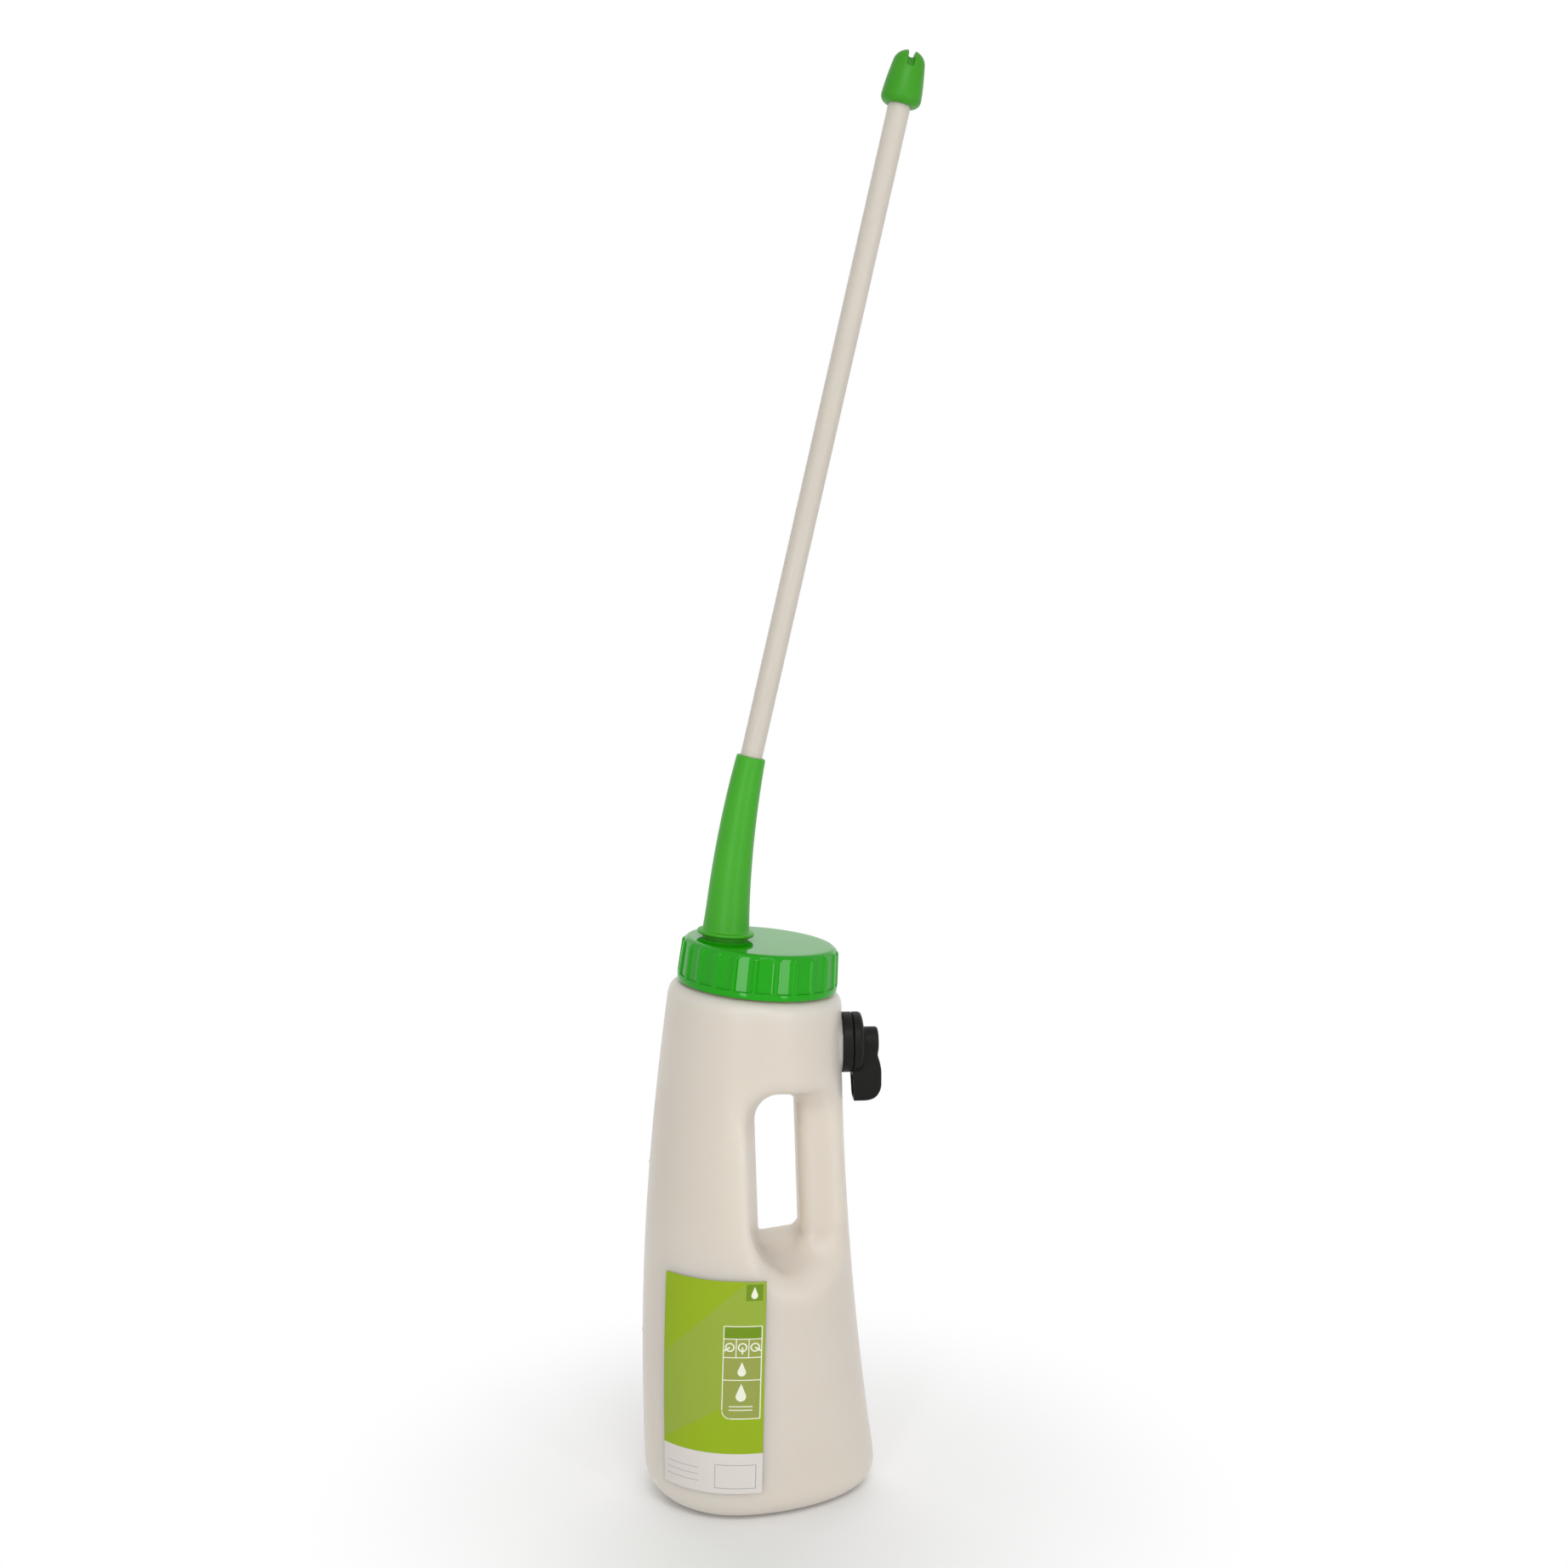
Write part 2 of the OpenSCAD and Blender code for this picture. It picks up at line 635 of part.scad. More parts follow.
// Two sealing rings in the spindle's grooves
module spindle_rings() {
    color(seal_grey) at_valve() for (c = ring_heights)
        translate([0, 0, c]) rotate_extrude()
            translate([spindle_diameter / 2 - ring_thickness / 2, 0]) circle(d = ring_thickness, $fn = 32);
}

// Outer line of the lever from the hub down to its rounded end, in distance and height
function lever_line(inset) =
    let (end = lever_length - inset, high = collar_length + thumb_height - inset,
         low = collar_length + hub_height - inset, r = lever_round - inset)
    concat(
        [for (k = [0 : round_steps])
            let (s = k / round_steps)
            [mix(lever_width / 4, lever_length - 1.6 * lever_round, s), mix(low, high, ease(s))]],
        [for (k = [1 : round_steps])
            let (a = 90 - 90 * k / round_steps)
            [end - r + r * cos(a), high - r + r * sin(a)]]);

// Plan of the lever: round about the axis, with rounded corners at its end
module lever_plan(inset) {
    half = lever_width / 2 - inset;
    polygon(concat(
        arc(lever_length - inset - half / 2, half / 2, half / 2, 0, 90),
        [for (k = [0 : 2 * round_steps])
            let (a = 90 + 180 * k / (2 * round_steps))
            [half * cos(a), half * sin(a)]],
        arc(lever_length - inset - half / 2, -half / 2, half / 2, -90, 90)));
}

// The lever between its plan and its side line, whose skirt hangs past the collar's face
module lever_form(inset, start, skirt) {
    intersection() {
        linear_extrude(collar_length + thumb_height + past) lever_plan(inset);
        rotate([90, 0, 0]) linear_extrude(lever_width + past, center = true)
            polygon(concat([[start, skirt], [start, lever_line(inset)[0][1]]], lever_line(inset),
                           [[lever_length - inset, skirt + lever_rise]]));
    }
}

// Turning knob: a flange over the collar, a hub on the spindle and a hollow lever
module valve_knob() {
    face = collar_length + knob_gap;
    hub = lever_width / 2;
    color(valve_black) at_valve() difference() {
        union() {
            rotate_extrude() polygon([
                [0, face], [pad_radius, face], [pad_radius, face + flange_thickness],
                [mix(pad_radius, hub, 0.45), face + flange_thickness + 0.7 * flange_slope],
                [hub, face + flange_thickness + flange_slope], [0, face + flange_thickness + flange_slope]]);
            translate([0, 0, face]) cylinder(r = hub, h = hub_height - knob_gap);
            difference() {
                lever_form(0, 0, collar_length - lever_skirt);
                cylinder(r = pad_radius + knob_gap, h = face);
            }
        }
        translate([0, 0, face - past])
            cylinder(r = spindle_diameter / 2 + fit_gap, h = spindle_end + knob_gap - face + past);
        difference() {
            translate([0, 0, -past]) lever_form(lever_wall, hub, collar_length - lever_skirt);
            cylinder(r = pad_radius + lever_wall, h = collar_length + thumb_height);
        }
        translate([0, 0, port_height]) rotate([0, 90, 0])
            cylinder(d = port_diameter, h = pad_radius + lever_wall);
    }
}

// Pieces are drawn about the neck's foot and then moved to the origin
module placed() {
    translate([-origin_back, 0, 0]) children();
}

placed() bottle();
placed() label();
placed() screw_cap();
placed() cap_gasket();
placed() spout();
placed() feeding_tube();
placed() probe_tip();
placed() valve_collar();
placed() valve_gasket();
placed() spindle_rings();
placed() valve_knob();
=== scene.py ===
"""Livestock drencher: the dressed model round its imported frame."""
import math

import bmesh
import bpy
import numpy as np
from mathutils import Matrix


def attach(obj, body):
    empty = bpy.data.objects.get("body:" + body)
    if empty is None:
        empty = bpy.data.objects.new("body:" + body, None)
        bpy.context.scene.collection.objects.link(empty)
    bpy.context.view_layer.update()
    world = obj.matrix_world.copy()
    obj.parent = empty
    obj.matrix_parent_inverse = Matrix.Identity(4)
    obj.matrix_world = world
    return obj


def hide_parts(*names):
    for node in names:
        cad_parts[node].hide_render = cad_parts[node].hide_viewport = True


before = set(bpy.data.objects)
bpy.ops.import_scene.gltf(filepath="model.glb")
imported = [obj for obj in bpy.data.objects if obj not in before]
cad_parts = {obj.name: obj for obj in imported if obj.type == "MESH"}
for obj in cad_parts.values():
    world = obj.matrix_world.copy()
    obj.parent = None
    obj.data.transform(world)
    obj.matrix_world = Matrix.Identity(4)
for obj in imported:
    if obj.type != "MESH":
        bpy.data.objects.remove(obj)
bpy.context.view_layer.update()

bl_info = {
    "name": "Livestock drencher",
    "version": (1, 0, 0),
    "blender": (4, 5, 0),
    "location": "View3D > Sidebar > Drencher",
    "description": "Builds a drenching bottle with its cap, spout, feeding tube, tip and air valve",
    "category": "Object",
}

MM = 0.001

# Sizes of the solids, in millimetres, as in the part's source
ORIGIN_BACK = 13.4
BODY_HEIGHT = 311.5
BASE_FRONT, BASE_BACK, BASE_WIDTH, BASE_ROUND = 67.8, 73.8, 110.0, 19.0
SHOULDER_FRONT, SHOULDER_BACK, SHOULDER_WIDTH, SHOULDER_ROUND = 51.8, 50.6, 103.0, 7.5
BELLY, FRONT_SQUARE, BACK_SQUARE, WIDEST_FORWARD = 4.0, 2.0, 1.85, 12.5
FRONT_POWER, BACK_POWER, LEAN_FROM = 1.9, 2.15, 0.35
DISH_RADIUS, DISH_DEPTH = 30.0, 3.5
NECK_LEAN, NECK_RADIUS, NECK_BORE = math.radians(5.2), 41.6, 38.75
THREAD_PITCH, THREAD_TURNS, THREAD_DEPTH, THREAD_WIDTH = 4.0, 1.25, 1.2, 1.8
GRIP_FRONT, GRIP_BACK, GRIP_DROP, GRIP_HEIGHT = -1.2, 23.8, 64.5, 89.0
GRIP_TOP = BODY_HEIGHT - GRIP_DROP
GRIP_BOTTOM = GRIP_TOP - GRIP_HEIGHT
GRIP_SLANT, GRIP_RISE, GRIP_CROWN, GRIP_CORNER = 2.8, 3.6, 15.0, 3.5
HANDLE_HALF, HANDLE_ROUND = 20.0, 9.5
SCOOP_FORWARD, SCOOP_UP, SCOOP_DOWN, SCOOP_CROWN, SCOOP_HANDLE = 6.5, 7.0, 16.0, 18.0, 12.0
# The near scoop's lower corner is rounder here than in the solid, so that the label lies on it.
NEAR_CORNER, FAR_CORNER = 46.0, 24.0
CAP_RADIUS, CAP_HEIGHT, CAP_TOP, CAP_BAND, CAP_DRAFT = 47.75, 25.8, 2.5, 3.8, 1.1
RIB_COUNT, RIB_WIDTH, RIB_DEPTH, RIB_TURN, CAP_ROUND = 24, 2.8, 1.2, math.radians(9), 3.4
RIM_GAP, THREAD_GAP, GASKET = 0.8, 1.6, 1.6
CAP_BORE = NECK_RADIUS + THREAD_GAP
CAP_CROWN = RIM_GAP + CAP_HEIGHT
CAP_UNDER = CAP_CROWN - CAP_TOP
GASKET_SEAT = CAP_UNDER - GASKET
NECK_THREAD = GASKET_SEAT - THREAD_PITCH * (THREAD_TURNS + 0.75)
SPOUT_OFFSET, SPOUT_LENGTH, SPOUT_FOOT, SPOUT_MOUTH, SPOUT_STRAIGHT = 21.2, 109.0, 13.7, 8.6, 0.2
SPOUT_HOLE, SPOUT_FLANGE, SPOUT_PASSAGE = 11.75, 2.0, 8.5
BEAD_RADIUS, BEAD_HEIGHT, BEAD_LIFT = 17.0, 2.4, 2.2
TUBE_LEAN, TUBE_RADIUS, TUBE_BORE = math.radians(12.9), 6.5, 4.75
TUBE_VISIBLE, TUBE_IN_SPOUT, TUBE_IN_TIP = 380.0, 30.0, 17.0
TIP_LENGTH, TIP_RADIUS, TIP_END, TIP_OUTLET = 30.8, 11.6, 9.2, 2.4
SLOT_WIDTH, SLOT_DEPTH, SLOT_SIDE, SLOT_TURN = 4.0, 3.6, 10.0, math.radians(92)
VALVE_DROP, VALVE_RADIUS, COLLAR_LENGTH, KNOB_GAP = 36.0, 18.0, 6.3, 0.4
PAD_GAP, PAD_SUNK, PAD_ROOM = 0.3, 0.6, 0.6
VALVE_HEIGHT = BODY_HEIGHT - VALVE_DROP
SIDE_NECK, COLLAR_FLOOR, AIR_BORE = 12.75, 1.6, 2.1
FLANGE_THICK, FLANGE_SLOPE, LEVER_WIDTH, LEVER_LENGTH = 4.1, 2.6, 17.4, 35.4
HUB_HEIGHT, THUMB_HEIGHT, LEVER_WALL, LEVER_ROUND = 15.7, 17.6, 1.9, 11.0
LEVER_RISE, LEVER_SKIRT = 2.1, 0.8
SPINDLE_RADIUS, SPINDLE_LENGTH, RING_THICK, RING_EDGE = 5.3, 11.2, 1.9, 2.5
LABEL_START, LABEL_END, LABEL_BOTTOM, LABEL_TOP = 218.0, 279.0, 21.0, 148.5
LABEL_GAP, LABEL_THICK = 0.08, 0.3
FIT_GAP = 0.05

# Values of the meshes alone: millimetres, counts and, for sharp edges, degrees
BOTTLE_LOW, BOTTLE_HIGH = (-76, -60, -4), (80, 60, 340)
NECK_SPLIT = 0.4
SEAM_WIDTH, SEAM_PIPS, PIP_HEIGHT = 1.4, (100, 202), 0.4
ROUND_SIDES, SHARP_EDGE = 64, 50
LABEL_FLAT_WIDTH, LABEL_CELLS = 63.5, 40


def mix(a, b, s):
    return a + (b - a) * s


def ease(s):
    s = np.clip(s, 0, 1)
    return s * s * (3 - 2 * s)


# Fields: negative inside, in millimetres

def meet(a, b, r):
    """Where both fields are inside, with the edge between them rounded by r."""
    p, q = a + r, b + r
    return np.minimum(np.maximum(p, q), 0) + np.hypot(np.maximum(p, 0), np.maximum(q, 0)) - r


def join(a, b, r):
    """Where either field is inside, with the corner between them filled by r."""
    return -meet(-a, -b, r)


def share(z):
    return np.clip(z / BODY_HEIGHT, 0, 1)


def front_at(z):
    s = share(z)
    return mix(BASE_FRONT, SHOULDER_FRONT, s ** FRONT_POWER) + BELLY * np.sin(np.pi * s)


def back_at(z):
    return mix(SHOULDER_BACK, BASE_BACK, (1 - share(z)) ** BACK_POWER)


def half_at(z):
    return mix(BASE_WIDTH, SHOULDER_WIDTH, share(z)) / 2


def lean_at(z):
    return NECK_LEAN * ease((share(z) - LEAN_FROM) / (1 - LEAN_FROM))


def skin_point(z, out, turn):
    """A point on the body's side, drawn out, at a height and a turn about the middle."""
    c, s = math.cos(turn), math.sin(turn)
    mid = -WIDEST_FORWARD * (1 - share(z))
    power = 2 / mix(BACK_SQUARE if c > 0 else FRONT_SQUARE, 2, share(z))
    reach = (back_at(z) - mid if c > 0 else front_at(z) + mid) + out
    x = mid + reach * math.copysign(abs(c) ** power, c)
    y = (half_at(z) + out) * math.copysign(abs(s) ** power, s)
    lean = float(lean_at(z))
    return (x * math.cos(lean), y, z - x * math.sin(lean))


def body_field(x, y, z):
    """The body without its grip: a leaning egg-shaped column with rounded ends."""
    level = z
    for _ in range(4):
        lean = lean_at(level)
        level = z + x * np.tan(lean)
    u = x / np.cos(lean)
    s = share(level)
    mid = -WIDEST_FORWARD * (1 - s)
    behind = u > mid
    n = mix(np.where(behind, BACK_SQUARE, FRONT_SQUARE), 2, s)
    reach = np.where(behind, back_at(level) - mid, front_at(level) + mid)
    half = half_at(level)
    a = np.maximum(np.abs(u - mid) / reach, 1e-4)
    b = np.maximum(np.abs(y) / half, 1e-4)
    g = np.maximum((a ** n + b ** n) ** (1 / n), 0.15)
    slope = g ** (1 - n) * np.hypot(a ** (n - 1) / reach, b ** (n - 1) / half)
    side = (g - 1) / np.maximum(slope, 1e-3)
    return meet(meet(side, -z, BASE_ROUND), level - BODY_HEIGHT, SHOULDER_ROUND)


def grip_field(x, y, z):
    """The hand hole with its side scoops, round the handle."""
    v = np.abs(y)
    wide = ease((v - HANDLE_HALF / 2) / (BASE_WIDTH / 2 - HANDLE_HALF / 2))
    edge = ease((v - HANDLE_HALF + HANDLE_ROUND) / HANDLE_ROUND)
    high = (z - GRIP_BOTTOM) / GRIP_HEIGHT
    u = x + GRIP_SLANT * (high - 0.5)
    back = np.clip((u - GRIP_FRONT) / (GRIP_BACK - GRIP_FRONT), 0, 1)
    flare = HANDLE_ROUND / 3 * edge
    ahead = GRIP_FRONT - SCOOP_FORWARD * wide - u
    under = GRIP_BOTTOM + GRIP_RISE * (back - 0.5) - SCOOP_DOWN * wide - flare - z
    above = z - GRIP_TOP - SCOOP_UP * wide - flare
    crown = meet(ahead, above, mix(GRIP_CROWN, SCOOP_CROWN, wide))
    corner = np.where(y < 0, NEAR_CORNER, FAR_CORNER)
    hollow = meet(crown, under, mix(GRIP_CORNER, corner, wide))
    handle = meet(v - HANDLE_HALF, GRIP_BACK - u, HANDLE_ROUND)
    return meet(hollow, -handle, mix(GRIP_CORNER, SCOOP_HANDLE, edge))


def in_neck(x, y, z):
    """Distance from the neck's axis and height along it."""
    h = x * math.sin(NECK_LEAN) + (z - BODY_HEIGHT) * math.cos(NECK_LEAN)
    across = x * math.cos(NECK_LEAN) - (z - BODY_HEIGHT) * math.sin(NECK_LEAN)
    return np.hypot(across, y), h


PAD_FACE = float(back_at(VALVE_HEIGHT)) - PAD_SUNK


def bottle_field(x, y, z, soft):
    """The blown bottle from outside, with the mouth of its neck open."""
    far = np.abs(z - GRIP_BOTTOM - GRIP_HEIGHT / 2) / GRIP_HEIGHT
    edge = soft * mix(0.6, 1.4, ease(2.2 * far - 0.5))
    field = meet(body_field(x, y, z), -grip_field(x, y, z), edge)
    r, h = in_neck(x, y, z)
    neck = meet(np.maximum(r - NECK_RADIUS, -h - 12), h - GASKET_SEAT, 0.8)
    field = join(field, neck, 1.5)
    across = np.hypot(y, z - VALVE_HEIGHT)
    field = meet(field, -np.maximum(across - VALVE_RADIUS - PAD_ROOM, PAD_FACE - x), 0.8)
    pad = np.maximum(meet(across - VALVE_RADIUS, x - PAD_FACE, 0.5), PAD_FACE - 9 - x)
    field = join(field, pad, 0.8)
    flat = np.hypot(x, y)
    dish = np.maximum((flat + z - DISH_RADIUS) / math.sqrt(2), z - DISH_DEPTH)
    field = meet(field, -dish, 2.0)
    return np.maximum(field, -np.maximum(r - NECK_BORE, -h - SHOULDER_ROUND))


def tip_field(x, y, z):
    """The probe tip about the tube's end: a bulb with a socket, an outlet and a relief slot."""
    foot, end = 4.5, 6.5
    r = np.hypot(x, y)
    run = np.clip((z - foot) / (TIP_LENGTH - end - foot), 0, 1.4)
    side = r - mix(TIP_RADIUS, TIP_END, run ** 1.4)
    field = meet(meet(side, z - TIP_LENGTH, end), -z, foot)
    along = np.abs(x * math.cos(SLOT_TURN) + y * math.sin(SLOT_TURN))
    across = np.abs(y * math.cos(SLOT_TURN) - x * math.sin(SLOT_TURN))
    fall = np.clip((along - TIP_OUTLET) / (TIP_END - 1.6 - TIP_OUTLET), 0, 1)
    floor = TIP_LENGTH - mix(SLOT_DEPTH, SLOT_SIDE, fall)
    field = meet(field, -meet(across - SLOT_WIDTH / 2, 0.7 * (floor - z), 0.5), 0.5)
    field = meet(field, TIP_OUTLET - r, 0.4)
    return meet(field, -np.maximum(r - TUBE_RADIUS - FIT_GAP, z - TUBE_IN_TIP), 0.4)


def lever_field(x, y, z, inset):
    """The lever of the air valve: +X hangs down, +Z points away from the bottle."""
    half, end = LEVER_WIDTH / 2 - inset, LEVER_LENGTH - inset
    plan = np.where(x > 0, meet(np.abs(y) - half, x - end, half / 2), np.hypot(x, y) - half)
    low, high = COLLAR_LENGTH + HUB_HEIGHT - inset, COLLAR_LENGTH + THUMB_HEIGHT - inset
    start, stop = LEVER_WIDTH / 4, LEVER_LENGTH - 1.6 * LEVER_ROUND
    waist = 0.45 * np.exp(-((x - 6.5) / 3) ** 2)
    top = z - mix(low, high, ease((x - start) / (stop - start))) + waist
    skirt = COLLAR_LENGTH - LEVER_SKIRT + LEVER_RISE * x / LEVER_LENGTH - z
    outer = meet(top, x - end, LEVER_ROUND - inset)
    return np.maximum(meet(plan, outer, max(0.3, 1.6 - inset)), skirt)


def knob_field(x, y, z):
    """The turning knob: a flange over the collar, a hub on the spindle and a hollow lever."""
    face, hub = COLLAR_LENGTH + KNOB_GAP, LEVER_WIDTH / 2
    r = np.hypot(x, y)
    inward = np.clip((VALVE_RADIUS - r) / (VALVE_RADIUS - hub), 0, 1)
    slope = z - face - FLANGE_THICK - FLANGE_SLOPE * np.sqrt(1 - (1 - inward) ** 2)
    flange = meet(meet(r - VALVE_RADIUS, face - z, 0.5), 0.8 * slope, 0.9)
    stem = meet(np.maximum(r - hub, face - z), z - COLLAR_LENGTH - HUB_HEIGHT, 1.4)
    lever = np.maximum(lever_field(x, y, z, 0.0), -np.maximum(r - VALVE_RADIUS - KNOB_GAP, z - face))
    field = join(join(flange, stem, 0.6), lever, 0.8)
    hollow = np.maximum(lever_field(x, y, z + 1.0, LEVER_WALL), VALVE_RADIUS + LEVER_WALL - r)
    hollow = np.maximum(hollow, -x)
    bore = np.maximum(r - SPINDLE_RADIUS - FIT_GAP, z - COLLAR_LENGTH - SPINDLE_LENGTH - KNOB_GAP)
    return np.maximum(meet(field, -hollow, 0.4), -bore)


# Meshes from fields

def surface_net(field, low, high, cell):
    """Quads on the zero surface of a field, with their corners moved onto it."""
    axes = [np.arange(a, b + cell, cell) for a, b in zip(low, high)]
    values = field(*np.meshgrid(*axes, indexing="ij"))
    inside = values < 0
    shape = tuple(n - 1 for n in values.shape)
    total = np.zeros(shape + (3,))
    count = np.zeros(shape, np.int32)
    quads = []
    for axis in range(3):
        other = [a for a in range(3) if a != axis]
        first = [slice(None)] * 3
        second = [slice(None)] * 3
        first[axis], second[axis] = slice(None, -1), slice(1, None)
        a, b = values[tuple(first)], values[tuple(second)]
        hit = np.argwhere((a < 0) != (b < 0))
        keep = np.all([(hit[:, o] > 0) & (hit[:, o] < values.shape[o] - 1) for o in other], axis=0)
        hit = hit[keep]
        key = tuple(hit.T)
        cross = hit.astype(float)
        cross[:, axis] += a[key] / (a[key] - b[key])
        corners = []
        for d0, d1 in ((-1, -1), (0, -1), (0, 0), (-1, 0)):
            at = hit.copy()
            at[:, other[0]] += d0
            at[:, other[1]] += d1
            np.add.at(total, tuple(at.T), cross)
            np.add.at(count, tuple(at.T), 1)
            corners.append(np.ravel_multi_index(tuple(at.T), shape))
        quad = np.stack(corners, axis=1)
        flip = ~inside[key] if axis != 1 else inside[key]
        quad[flip] = quad[flip][:, ::-1]
        quads.append(quad)
    used = np.flatnonzero(count.ravel())
    place = np.full(count.size, -1)
    place[used] = np.arange(len(used))
    points = total.reshape(-1, 3)[used] / count.ravel()[used][:, None] * cell + np.array(low)
    faces = place[np.concatenate(quads)]
    for turn in range(3):
        points = onto(field, points, cell)
        if turn < 2:
            points = relax(points, faces)
    return onto(field, points, cell), faces


def onto(field, points, cell):
    """Moves points along the field's slope onto its zero surface."""
    step = 0.08 * cell
    value = field(*points.T)
    slope = np.empty_like(points)
    for axis in range(3):
        shift = np.zeros(3)
        shift[axis] = step
        slope[:, axis] = (field(*(points + shift).T) - field(*(points - shift).T)) / (2 * step)
    size = np.maximum((slope ** 2).sum(axis=1), 0.04)
    move = np.clip(value / size, -0.6 * cell, 0.6 * cell)
    return points - move[:, None] * slope


def relax(points, faces):
    """Evens out the spacing of a mesh's corners."""
    total = np.zeros_like(points)
    count = np.zeros(len(points))
    for k in range(4):
        for other in (faces[:, (k + 1) % 4], faces[:, (k + 3) % 4]):
            np.add.at(total, faces[:, k], points[other])
            np.add.at(count, faces[:, k], 1)
    return mix(points, total / np.maximum(count, 1)[:, None], 0.5)


def ring_faces(rows, columns, closed_rows=False):
    """Quads between rings of points, each ring a closed loop."""
    faces = []
    for i in range(rows if closed_rows else rows - 1):
        for j in range(columns):
            a, b = i * columns + j, i * columns + (j + 1) % columns
            c, d = ((i + 1) % rows) * columns + (j + 1) % columns, ((i + 1) % rows) * columns + j
            faces.append((a, b, c, d))
    return faces


def bar_faces(rows):
    """Quads of a bar with four-sided rings, closed at both ends."""
    last = 4 * rows - 4
    return ring_faces(rows, 4) + [(0, 1, 2, 3), (last + 3, last + 2, last + 1, last)]


def lathe(profile, sides):
    """A profile of radii and heights turned about an axis, from one point on it to another."""
    turn = 2 * np.pi * np.arange(sides) / sides
    radius, height = np.array(profile[1:-1]).T
    rings = np.stack([np.outer(radius, np.cos(turn)), np.outer(radius, np.sin(turn)),
                      np.repeat(height[:, None], sides, axis=1)], axis=-1).reshape(-1, 3)
    points = np.concatenate([rings, [(0, 0, profile[0][1]), (0, 0, profile[-1][1])]])
    low, top, last = len(rings), len(rings) + 1, len(rings) - sides
    faces = ring_faces(len(radius), sides)
    for j in range(sides):
        after = (j + 1) % sides
        faces += [(low, after, j), (top, last + j, last + after)]
    return points, faces


def add_mesh(name, points, faces, material, body, replaced, slot, sharp=None):
    """A smooth-shaded piece from points in millimetres, riding on a body."""
    mesh = bpy.data.meshes.new(name)
    placed = (np.asarray(points) - (ORIGIN_BACK, 0, 0)) * MM
    mesh.from_pydata(placed.tolist(), [], [tuple(int(i) for i in f) for f in faces])
    outward = bmesh.new()
    outward.from_mesh(mesh)
    bmesh.ops.recalc_face_normals(outward, faces=outward.faces)
    outward.to_mesh(mesh)
    outward.free()
    mesh.shade_smooth()
    if sharp:
        mesh.set_sharp_from_angle(angle=math.radians(sharp))
    piece = bpy.data.objects.new(name, mesh)
    bpy.context.scene.collection.objects.link(piece)
    mesh.materials.append(material)
    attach(piece, body)
    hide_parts(replaced)
    return piece


def cut_out(points, faces):
    """Some faces of a mesh, with only their own points."""
    used, place = np.unique(faces, return_inverse=True)
    return points[used], place.reshape(faces.shape)


def merged(*parts):
    """Several point and face lists as one."""
    points, faces, start = [], [], 0
    for p, f in parts:
        points.append(np.asarray(p, float))
        faces += [tuple(int(i) + start for i in face) for face in f]
        start += len(p)
    return np.concatenate(points), faces


def thread(foot, crest, start):
    """Thread ridge on the neck or in the cap, from its foot's radius to its crest's."""
    steps = 90
    rooted = foot + math.copysign(THREAD_WIDTH / 4, foot - crest)
    points = []
    for k in range(steps + 1):
        turn = 2 * math.pi * THREAD_TURNS * k / steps
        z = start + THREAD_PITCH * THREAD_TURNS * k / steps
        edge = mix(foot, crest, min(1, k / 10, (steps - k) / 10))
        for r, h in ((rooted, -THREAD_WIDTH / 2), (rooted, THREAD_WIDTH / 2),
                     (edge, THREAD_WIDTH / 4), (edge, -THREAD_WIDTH / 4)):
            points.append((r * math.cos(turn), r * math.sin(turn), z + h))
    return to_neck(*np.array(points).T), bar_faces(steps + 1)


def to_neck(x, y, z):
    """Neck frame to row frame."""
    c, s = math.cos(NECK_LEAN), math.sin(NECK_LEAN)
    return np.stack([x * c + z * s, y, BODY_HEIGHT - x * s + z * c], axis=-1)


def to_valve(p):
    """Valve frame to row frame: the frame's +X hangs down, its +Z points away from the bottle."""
    p = np.asarray(p, float)
    return np.stack([PAD_FACE + p[..., 2], p[..., 1], VALVE_HEIGHT - p[..., 0]], axis=-1)


def spout_line(t):
    """Middle and lean of the spout at a distance along it from the cap's top."""
    straight = SPOUT_STRAIGHT * SPOUT_LENGTH
    start = to_neck(np.array(-SPOUT_OFFSET), np.array(0.0), np.array(CAP_CROWN + min(t, straight)))
    if t <= straight:
        return start, NECK_LEAN
    lean = mix(NECK_LEAN, TUBE_LEAN, (t - straight) / (SPOUT_LENGTH - straight))
    bend = (SPOUT_LENGTH - straight) / (TUBE_LEAN - NECK_LEAN)
    return start + bend * np.array([math.cos(NECK_LEAN) - math.cos(lean), 0,
                                    math.sin(lean) - math.sin(NECK_LEAN)]), lean


def swept(rows):
    """A closed skin through rings, each with its middle, lean and radius."""
    turn = 2 * np.pi * np.arange(ROUND_SIDES) / ROUND_SIDES
    c, s = np.cos(turn), np.sin(turn)
    rings = [middle + radius * np.stack([c * math.cos(lean), s, -c * math.sin(lean)], axis=1)
             for middle, lean, radius in rows]
    return np.concatenate(rings), ring_faces(len(rings), ROUND_SIDES, closed_rows=True)


MOUTH = spout_line(SPOUT_LENGTH)[0]


def along_tube(h):
    return MOUTH + h * np.array([math.sin(TUBE_LEAN), 0, math.cos(TUBE_LEAN)])


def arc(x, y, r, start, turn, steps=6):
    """Points on an arc, with angles in degrees."""
    a = np.radians(start + turn * np.arange(steps + 1) / steps)
    return [(x + r * c, y + r * s) for c, s in zip(np.cos(a), np.sin(a))]


# Node helpers

def node(tree, kind, **values):
    """A shader node with its named inputs set or linked."""
    made = tree.nodes.new(kind)
    for key, value in values.items():
        if hasattr(made, key) and key not in made.inputs:
            setattr(made, key, value)
            continue
        socket = made.inputs[key.replace("_", " ")] if isinstance(key, str) else made.inputs[key]
        feed(tree, socket, value)
    return made


def feed(tree, socket, value):
    if isinstance(value, bpy.types.NodeSocket):
        tree.links.new(value, socket)
    else:
        socket.default_value = value


